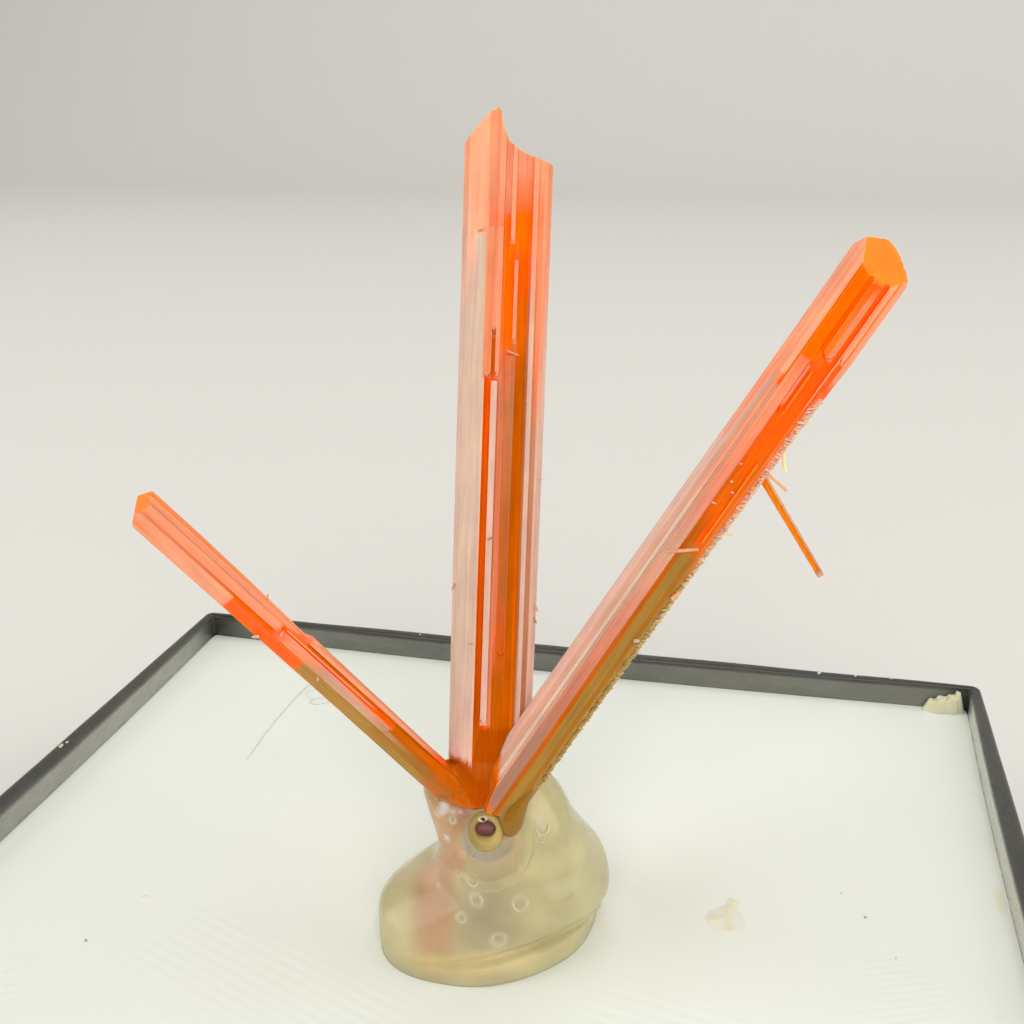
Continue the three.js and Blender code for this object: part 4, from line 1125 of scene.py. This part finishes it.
def bubble_rings(bubbles, skin, around, tube, squeeze):
    """The raised rings that burst bubbles leave: a torus each, half sunk in the skin, uneven in
    thickness and running out to almost nothing where part of the ring is gone."""
    flat, out = skin.reshape(-1, 3), grid_normals(skin).reshape(-1, 3)
    u = circle(around)[:, None]
    v = circle(TUBE_SIDES)[None]
    tori = []
    for number, (place, radius, kept) in enumerate(bubbles):
        nearest = np.argmin(np.linalg.norm(flat - place, axis=1))
        normal = out[nearest]
        side = np.cross([0, 0, 1], normal)
        side /= np.linalg.norm(side)
        left = np.clip((np.cos(u - np.pi * 1.5) + 2.4 * kept - 1) / 0.6, 0.05, 1)
        thick = tube * radius * (1 + 0.3 * np.sin(2 * u + number)) * left
        reach = radius * (1 + 0.06 * np.sin(3 * u + number)) + thick * np.cos(v)
        ring = (reach * np.cos(u))[..., None] * side
        ring = ring + (squeeze * reach * np.sin(u))[..., None] * np.cross(normal, side)
        ring = flat[nearest] + ring + (thick * np.sin(v) + 0.05 * radius)[..., None] * normal
        quads = joined_grid(np.vstack([ring, ring[:1]]), True) % (around * TUBE_SIDES)
        tori.append((ring.reshape(-1, 3), [quads[:, ::-1]]))
    return joined(tori)


pale_glue = Finish("pale_glue")
pale_glue.set(
    Base_Color=(0.62, 0.55, 0.33, 1), Roughness=0.35, IOR=1.48, Subsurface_Weight=0.5,
    Subsurface_Radius=(1.0, 0.8, 0.5), Subsurface_Scale=0.0005)
rings = bubble_rings(BUBBLES, skin, RING_STEPS, RING_TUBE, 1)
smooth_piece("bubble_rings", rings, pale_glue.material)

# A bubble sits on the nipple's top edge: a bright ring round a hole, filled with a near black body
# as painted shade.
EYE_AT = NIPPLE_TO + (-0.06, -0.02, 0.33)
EYE_RADIUS = 0.095
EYE_STEPS = 32
EYE_TUBE = 0.42
EYE_SQUEEZE = 0.62
HOLE_COLUMNS = 16
HOLE_PROFILE = [  # rows as for every body of revolution here
    (0.02, -0.05, 0, 0.7), (0.06, -0.04, 0, 0.7), (0.06, 0.0, 0, 0.7), (0.04, 0.02, 0, 0.7),
    (0.01, 0.025, 0, 0.7),
]
eye = bubble_rings([(EYE_AT, EYE_RADIUS, 1.0)], nipple_skin, EYE_STEPS, EYE_TUBE, EYE_SQUEEZE)
smooth_piece("nipple_bubble", eye, pale_glue.material)
# The hole's darkness is painted shade.
painted_hole_shade = Finish("painted_hole_shade")
painted_hole_shade.set(Base_Color=(0.03, 0.015, 0.01, 1), Roughness=0.2)
eye_middle = eye[0].mean(axis=0)
hole_axis = eye_middle - nipple_skin.reshape(-1, 3).mean(axis=0)
hole_skin = turned(HOLE_PROFILE, eye_middle, hole_axis, HOLE_COLUMNS)
smooth_piece("bubble_hole", closed(hole_skin), painted_hole_shade.material)

# The amber drop that ran down the right crystal's lower edge.
AMBER_DROP = [  # radius, distance along the crystal's lower edge, shift out of it, squeeze
    (0.03, -0.3, 0.1, 1.4), (0.13, -0.28, 0.1, 1.4), (0.19, -0.21, 0.1, 1.4), (0.24, -0.07, 0.08, 1.4),
    (0.25, 0.1, 0.05, 1.45), (0.23, 0.28, 0.02, 1.5), (0.2, 0.45, 0.0, 1.5), (0.17, 0.65, 0.0, 1.4),
    (0.13, 0.85, 0.01, 1.3), (0.08, 1.05, 0.03, 1.2), (0.03, 1.2, 0.05, 1.2),
]
DROP_AT = (0.26, -0.27, -0.24)  # in the right crystal's frame
DROP_COLUMNS = 28
amber_glue = Finish("amber_glue")
amber_glue.set(
    Base_Color=(0.27, 0.125, 0.008, 1), Roughness=0.14, IOR=1.48, Subsurface_Weight=0.4,
    Subsurface_Radius=(1.0, 0.5, 0.1), Subsurface_Scale=0.0006)
out_of_edge, _, along_edge = crystal_axes(RIGHT)
drop_skin = turned(AMBER_DROP, in_world(RIGHT, DROP_AT), along_edge, DROP_COLUMNS, out_of_edge)
smooth_piece("amber_drop", closed(drop_skin), amber_glue.material)


# ---------------------------------------------------------------- insert
# The white styrene plate that lies in the base. It is matt and almost flat: the mould left
# patches of very fine parallel ridges on its front half, each with a direction of its own.
BASE_SIDE = 31.75
BASE_HEIGHT = 6.4
BASE_FLOOR = 1.5
RIM_WIDTH = 0.42
RIM_SWELL = 0.3
INSERT_GAP = 0.01  # between the plate and the walls
INSERT_HALF = BASE_SIDE / 2 - RIM_WIDTH - INSERT_GAP
INSERT_CORNER = 0.2
RIDGE_SLOPE = 0.09
RIDGE_PATCHES = [  # middle, half length, half width, direction in degrees, pitch
    ((-4.6, -4.3), 4.8, 2.0, -21, 0.34), ((-12.0, -6.6), 2.6, 2.4, 29, 0.3),
    ((6.4, -4.8), 3.2, 2.6, -10, 0.38), ((11.9, -1.4), 2.7, 2.7, 22, 0.25),
    ((-4.5, -9.8), 4.5, 2.0, 12, 0.34), ((8.5, -9.6), 4.0, 1.8, -16, 0.3),
]
PATCH_FADE = (1.4, 0.7)  # the length over which a patch ends, along and across its ridges
PLATE_WAVE = 0.003  # how far the plate is from flat
PLATE_EDGE = 0.1  # height of the rows of faces next to its two edges
PLATE_DRAFT = 0.994  # size of the underside as a share of the top
PLATE_COLUMNS = np.linspace(-1, 1, 300)
PLATE_ROWS = np.concatenate([  # close together where the ridges are
    np.linspace(-1, -0.78, 12)[:-1], np.linspace(-0.78, 0.16, 262)[:-1], np.linspace(0.16, 1, 30)])


def plate_top(half, corner, swell, columns, rows):
    """A square grid whose border follows a round-cornered square with sides that bend in.
    Lines run from side to side, and each corner's square is drawn in to a quarter circle."""
    u, v = np.meshgrid(columns, rows)
    x, y = u * (half - swell * (1 - v**2)), v * (half - swell * (1 - u**2))
    past_x, past_y = np.abs(x) - half + corner, np.abs(y) - half + corner
    both = (past_x > 0) & (past_y > 0)
    pull = np.maximum(past_x, past_y) / np.maximum(np.hypot(past_x, past_y), 1e-9)
    x = np.where(both, np.sign(x) * (half - corner + past_x * pull), x)
    y = np.where(both, np.sign(y) * (half - corner + past_y * pull), y)
    return x, y


def mould_ridges(x, y):
    """Height of the ridges: in each patch a wave across its direction, faded at its sides."""
    height = np.zeros(x.shape)
    for (px, py), length, width, degrees, pitch in RIDGE_PATCHES:
        turn = math.radians(degrees)
        along = (x - px) * math.cos(turn) + (y - py) * math.sin(turn)
        across = (y - py) * math.cos(turn) - (x - px) * math.sin(turn)
        inside = ease((length - np.abs(along)) / PATCH_FADE[0])
        inside = inside * ease((width - np.abs(across)) / PATCH_FADE[1])
        patchy = 0.7 + 0.3 * np.sin(2.3 * along + 1.1 * across) * np.sin(1.7 * across)
        rise = RIDGE_SLOPE * pitch / (2 * np.pi)
        height += rise * inside * patchy * np.sin(2 * np.pi * across / pitch + 0.12 * along)
    return height


def border(grid):
    """The outer row of a grid, once round."""
    return np.concatenate([grid[0, :-1], grid[:-1, -1], grid[-1, :0:-1], grid[:0:-1, 0]])


def plate_body(top, floor):
    """A plate from the grid of its top: sides that drop from its border, slightly drawn in at
    the bottom, and a flat underside. Returns points and blocks of faces."""
    rim = border(top)
    skirt = np.stack([rim] + [
        np.column_stack([rim[:, :2] * share, np.full(len(rim), level)])
        for share, level in (
            (1, INSERT_TOP - PLATE_EDGE), (1, floor + PLATE_EDGE), (PLATE_DRAFT, floor))])
    count = top.shape[0] * top.shape[1]
    below = count + np.arange(3 * len(rim))
    index = np.concatenate([border(np.arange(count).reshape(top.shape[:2])), below])
    last = below[-len(rim):]
    fan = np.stack([np.full(len(rim), count + len(below)), np.roll(last, -1), last], axis=1)
    points = np.vstack([top.reshape(-1, 3), skirt[1:].reshape(-1, 3), [(0, 0, floor)]])
    return points, [joined_grid(top, False), index[joined_grid(skirt, True)[:, ::-1]], fan]


styrene = Finish("white_styrene")
cloud = styrene.noise(styrene.here(), 110, (1, 1, 1), 3)
styrene.set(
    Base_Color=styrene.ramp(cloud, (0.3, (0.775, 0.81, 0.745)), (0.7, (0.81, 0.845, 0.79))),
    Roughness=styrene.spread(cloud, 0.3, 0.7, 0.42, 0.55), IOR=1.5)
x, y = plate_top(INSERT_HALF, INSERT_CORNER, RIM_SWELL, PLATE_COLUMNS, PLATE_ROWS)
z = INSERT_TOP + mould_ridges(x, y) + PLATE_WAVE * np.sin(0.4 * x + 1) * np.sin(0.33 * y)
plate = plate_body(np.stack([x, y, z], axis=2), BASE_FLOOR)
insert = smooth_piece("white_insert", plate, styrene.material)
insert.data.set_sharp_from_angle(angle=math.radians(40))
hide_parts("base_insert")


# ---------------------------------------------------------------- tray
# The base of the thumbnail box, moulded in black plastic, one piece. The rim is rounded and its
# inner faces swell inwards between sharp corners. They are hazy with fine scratches and dust, and
# painted paler as a reflection of the white insert, most of all on the left and the right; the
# corners are painted darker as shade.
TRAY_CORNER = 0.35
TRAY_ROWS = [  # inset from the outer side, how much of the swell, height, haze and painted sheen
    (0.25, 0, 0.0, 0.0), (0.12, 0, 0.0, 0.0), (0.03, 0, 0.04, 0.0), (0.0, 0, 0.12, 0.0),
    (0.0, 0, 0.25, 0.0), (0.0, 0, 3.0, 0.03), (0.0, 0, 6.1, 0.06), (0.0, 0, 6.2, 0.06),
    (0.012, 0, 6.29, 0.08),
    (0.05, 0, 6.36, 0.1), (0.12, 0.1, 6.4, 0.1), (0.2, 0.4, 6.4, 0.1), (0.3, 0.85, 6.395, 0.12),
    (0.37, 1, 6.37, 0.2), (0.41, 1, 6.31, 0.5), (0.42, 1, 6.22, 1.0), (0.42, 1, 6.1, 1.0),
    (0.42, 1, 4.0, 1.0), (0.42, 1, 1.6, 1.0), (0.47, 1, 1.5, 0.2), (0.62, 1, 1.5, 0.2),
]
RIM_FROM = 6.25  # above this the tray is uneven
RIM_WAVE = 0.012
RIGHT_HAZE_AND_SHEEN = 0.8
LEFT_HAZE_AND_SHEEN = 0.41  # also the most on the rim
OTHER_HAZE_AND_SHEEN = 0.17
CORNER_SHADE = 0.85  # painted shade: how much of the haze and sheen a corner lacks
CORNER_REACH = (1.6, 0.8)  # how far that reaches from the left and from the right corners
SIDE_STEPS = 40
CORNER_STEPS = 8


def round_square(half, corner, swell):
    """Points round a square with round corners whose sides bend in by `swell` at the middle:
    one side and one corner, turned three times. Points lie closer towards the corners."""
    along = np.sin(np.linspace(-np.pi / 2, np.pi / 2, SIDE_STEPS))
    side = np.stack([half - swell * (1 - along**2), along * (half - corner)], axis=1)
    turn = np.linspace(0, np.pi / 2, CORNER_STEPS + 2)[1:-1]
    bend = half - corner + corner * np.stack([np.cos(turn), np.sin(turn)], axis=1)
    quarter = np.vstack([side, bend])
    turns = [np.array([[c, s], [-s, c]]) for c, s in ((1, 0), (0, 1), (-1, 0), (0, -1))]
    return np.vstack([quarter @ turn for turn in turns])


def wall_haze_and_sheen(skin):
    """How hazy each point of the tray is, with painted sheen where it reflects the insert: its row's
    share, most on the right wall, less on the left one and on the rim, least on the other two, and
    clear in the corners, which are painted darker as shade."""
    x, y = skin[..., 0], skin[..., 1]
    wall = np.where(np.abs(x) > np.abs(y), np.where(x > 0, RIGHT_HAZE_AND_SHEEN, LEFT_HAZE_AND_SHEEN), OTHER_HAZE_AND_SHEEN)
    from_corner = BASE_SIDE - 2 * RIM_WIDTH - np.abs(x) - np.abs(y)
    share = np.array([haze_and_sheen for *_, haze_and_sheen in TRAY_ROWS])[:, None]
    reach = np.where(x < 0, *CORNER_REACH)
    wall = np.where(share < 0.3, np.minimum(wall, LEFT_HAZE_AND_SHEEN), wall)
    return share * wall * (1 - CORNER_SHADE * bell(from_corner, reach))


tray_skin = np.stack([
    np.column_stack([
        round_square(BASE_SIDE / 2 - inset, max(TRAY_CORNER - inset, 0.05), share * RIM_SWELL),
        np.full(4 * (SIDE_STEPS + CORNER_STEPS), level)])
    for inset, share, level, haze_and_sheen in TRAY_ROWS])
uneven = RIM_WAVE * np.sin(0.9 * tray_skin[..., 0] + 2) * np.sin(1.3 * tray_skin[..., 1])
tray_skin[..., 2] += np.where(tray_skin[..., 2] > RIM_FROM, uneven - RIM_WAVE, 0)
black = Finish("black_styrene")
here = black.here()
haze_and_sheen = black.told("look")["Fac"]
scuff = black.noise(here, 700, (1, 1, 3), 5)
haze_and_sheen = black.product(haze_and_sheen, black.spread(scuff, 0.35, 0.75, 0.9, 1.12))
grain = black.node("ShaderNodeBump", {"Height": black.noise(here, 260), "Distance": 0.000015})
black.set(
    Base_Color=black.ramp(haze_and_sheen, (0.0, (0.016, 0.016, 0.013)), (1.0, (0.7, 0.715, 0.62))),
    Roughness=black.spread(scuff, 0.35, 0.7, 0.2, 0.38), IOR=1.52, Normal=grain.outputs["Normal"])
body = capped(tray_skin, (0, 0, 0), (0, 0, BASE_FLOOR))
tray = smooth_piece("black_tray", body, black.material)
paint(tray, np.repeat(np.append(wall_haze_and_sheen(tray_skin).ravel(), [0, 0])[:, None], 3, axis=1))
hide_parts("base_tray")


# ---------------------------------------------------------------- dried glue
# What dripped or was wiped off while the specimen was set: a thin pale spot with a swirl of cream
# glue in it, a ragged crumb against the back wall at the right corner and two faint smears on the
# insert. All of it has dried dull.
SPOT_AT = (7.21, 0.96)
SPOT_HALF = (0.76, 1.1)
SPOT_COLOUR = (0.76, 0.785, 0.7)
SWIRL_TINT = (0, -0.04, -0.17)
SWIRL_WIDTH = 0.17
SWIRL = [  # from, to
    ((7.43, 1.95), (7.27, 1.4)), ((7.27, 1.4), (7.25, 0.96)), ((7.25, 0.96), (7.38, 0.5)),
    ((7.25, 1.0), (6.88, 0.9)),
]
CRUMB_AT = (14.52, 15.2)
CRUMB_HALF = (0.78, 0.27)
CRUMB_HEIGHT = 0.42
CRUMB_STEPS = [  # where a step in its top starts, over what width it runs and how far it climbs
    (-0.35, 0.12, 0.12), (0.15, 0.1, 0.12), (0.5, 0.08, 0.2), (0.72, 0.1, -0.12),
]
SMEARS = [  # piece, place, half width and half length
    ("wall_smear", (14.9, 3.5), (0.26, 0.95)), ("faint_smear", (-9.33, -1.75), (0.22, 0.2)),
]
SMEAR_ROWS = 16
SMEAR_COLUMNS = 40
SMEAR_RIM_COLOUR = (0.79, 0.825, 0.765)
SMEAR_TINT = (0.02, 0.045, 0.2)  # what its middle lacks of that


def mound(at, half, rows, around, rise):
    """A low lump on the insert: rings from a slightly uneven rim in to the middle, each
    point raised by what `rise` gives for its share of the way across and its depth inside."""
    share = np.linspace(1, 0.02, rows)[:, None]
    turn = circle(around)[None]
    edge = 1 + 0.06 * np.sin(3 * turn + 1) + 0.04 * np.sin(7 * turn + 2) + 0.015 * np.sin(15 * turn)
    x, y = share * edge * np.cos(turn), share * edge * np.sin(turn)
    z = INSERT_TOP + rise(x, y, np.broadcast_to(1 - share, x.shape))
    grid = np.stack([at[0] + half[0] * x, at[1] + half[1] * y, z], axis=2)
    base = grid[:1].copy()
    base[..., 2] = INSERT_TOP - 0.02
    return np.concatenate([base, grid])


def swirl_share(x, y):
    """Nearness to the swirl's strokes: one on a stroke, falling off as a bell to each side."""
    nearest = np.full(x.shape, 9.0)
    for start, end in np.array(SWIRL):
        line = end - start
        t = np.clip(((x - start[0]) * line[0] + (y - start[1]) * line[1]) / (line @ line), 0, 1)
        away = np.hypot(x - start[0] - t * line[0], y - start[1] - t * line[1])
        nearest = np.minimum(nearest, away)
    return bell(nearest, SWIRL_WIDTH)


def spot_rise(x, y, inside):
    """The film, thin and soft at its rim, with the swirl raised in it. What lies outside both
    sinks just under the insert."""
    film = ease((1 - np.hypot(1.15 * x, 1.5 * y + 0.05)) / 0.4)
    swirl = swirl_share(SPOT_AT[0] + SPOT_HALF[0] * x, SPOT_AT[1] + SPOT_HALF[1] * y)
    return 0.02 * film + 0.025 * swirl - 0.008


def crumb_rise(x, y, inside):
    """Steep sides and a top that climbs to the right in uneven steps and drops at the end."""
    top = np.full(x.shape, CRUMB_HEIGHT)
    for start, width, climb in CRUMB_STEPS:
        top += climb * ease((x - start) / width)
    return ease(inside / 0.35) * (top + 0.03 * np.sin(17 * x + 5 * y) * np.sin(9 * y + 1))


def smear_rise(x, y, inside):
    """A film that thins out to nothing at its rim."""
    return 0.02 * ease(inside / 0.6) - 0.006


dry_glue = Finish("dry_glue")
cloud = dry_glue.noise(dry_glue.here(), 1500)
# Its colour is darkened as painted shade, for the shadow that the crumb lies in.
dry_glue.set(
    Base_Color=dry_glue.ramp(cloud, (0.35, (0.55, 0.54, 0.36)), (0.65, (0.64, 0.64, 0.48))),
    Roughness=0.4, IOR=1.47, Subsurface_Weight=0.4, Subsurface_Radius=(1, 0.8, 0.5),
    Subsurface_Scale=0.0004)
film_glue = Finish("film_glue")
film_glue.set(Base_Color=film_glue.told("look")["Color"], Roughness=0.35, IOR=1.47)

spot_skin = mound(SPOT_AT, SPOT_HALF, rows=40, around=96, rise=spot_rise)
spot = smooth_piece("glue_spot", closed(spot_skin), film_glue.material)
swirl = swirl_share(spot_skin[..., 0], spot_skin[..., 1]).reshape(-1, 1)
cream = np.array(SPOT_COLOUR) + swirl * SWIRL_TINT
paint(spot, np.vstack([cream, cream[:1], cream[-1:]]))
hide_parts("glue_dot")

crumb_skin = mound(CRUMB_AT, CRUMB_HALF, rows=20, around=72, rise=crumb_rise)
crumb_skin[..., :2] = np.minimum(crumb_skin[..., :2], INSERT_HALF)
crumb = smooth_piece("corner_crumb", closed(crumb_skin), dry_glue.material)
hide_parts("corner_glue")

share = np.repeat(np.append(0, np.linspace(0, 1, SMEAR_ROWS)), SMEAR_COLUMNS)[:, None]
cream = np.array(SMEAR_RIM_COLOUR) - share * SMEAR_TINT
for name, at, half in SMEARS:
    smear_skin = mound(at, half, SMEAR_ROWS, SMEAR_COLUMNS, smear_rise)
    smear = smooth_piece(name, closed(smear_skin), film_glue.material)
    paint(smear, np.vstack([cream, cream[:1], cream[-1:]]))


# ---------------------------------------------------------------- dust
# A fibre that lies on the insert in a loose loop, specks on the insert and chips on the rim.
FIBRE_RADIUS = 0.011
FIBRE_STEPS = 120
FIBRE_LIFT = 0.12  # its loop rises about half of this off the insert
FIBRE = [
    (-9.69, 6.07), (-9.82, 8.14), (-9.82, 9.78), (-9.77, 11.14), (-9.62, 11.93), (-9.34, 12.17),
    (-9.03, 11.8), (-9.24, 11.49), (-9.49, 11.27), (-9.44, 10.94), (-9.07, 10.73), (-8.66, 10.95),
    (-8.43, 10.66), (-8.74, 10.43), (-9.09, 10.47), (-9.08, 10.77),
]
DARK_SPECKS = [  # on the insert: place and length
    (-10.0, -3.83, 0.1), (11.07, 1.93, 0.09), (10.44, 2.91, 0.05), (11.81, 0.33, 0.05),
]
PALE_SPECKS = [  # on the rim
    (-15.62, 4.15, 0.22), (-15.55, 4.4, 0.12), (9.94, 15.6, 0.2), (11.3, 15.65, 0.14),
    (12.6, 15.7, 0.16), (15.55, 1.0, 0.14), (-6.2, 15.55, 0.12),
]


def thread(path, radius, sides):
    """A thin tube carried along a path that lies flat."""
    line = np.gradient(path, axis=0)
    line /= np.linalg.norm(line, axis=1)[:, None]
    side = np.cross(line, (0, 0, 1.0))
    turn = circle(sides)[None, :, None]
    ring = np.cos(turn) * side[:, None] + np.sin(turn) * np.cross(side, line)[:, None]
    return path[:, None] + radius * ring


def specks(name, placed, level, material, seed):
    """Tiny shards that lie flat at random angles, their middles at one level."""
    x, y, length = np.array(placed).T
    turn = np.random.default_rng(seed).uniform(0, np.pi, len(x))
    half = np.column_stack([np.cos(turn), np.sin(turn), 0 * turn]) * length[:, None] / 2
    places = np.column_stack([x, y, np.full(len(x), level)])
    points, faces = shards(places - half, places + half, length * 0.6, sides=5, shoulder=0.7)
    piece = new_piece(name, points, faces, material)
    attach(piece, "root")


lint = Finish("lint")
lint.set(Base_Color=(0.6, 0.61, 0.54, 1), Roughness=0.7)
soot = Finish("soot")
soot.set(Base_Color=(0.3, 0.3, 0.26, 1), Roughness=0.6)
path = smooth_path(FIBRE, FIBRE_STEPS)
along = np.linspace(0, 1, FIBRE_STEPS)
lift = 1.5 * FIBRE_RADIUS + FIBRE_LIFT * np.sin(np.linspace(0, np.pi, FIBRE_STEPS)) ** 2 * along
fibre_skin = thread(np.column_stack([path, INSERT_TOP + lift]), FIBRE_RADIUS, sides=6)
smooth_piece("fibre", closed(fibre_skin), lint.material)
specks("dark_specks", DARK_SPECKS, INSERT_TOP + 0.02, soot.material, seed=5)
specks("pale_specks", PALE_SPECKS, BASE_HEIGHT + 0.01, dry_glue.material, seed=6)
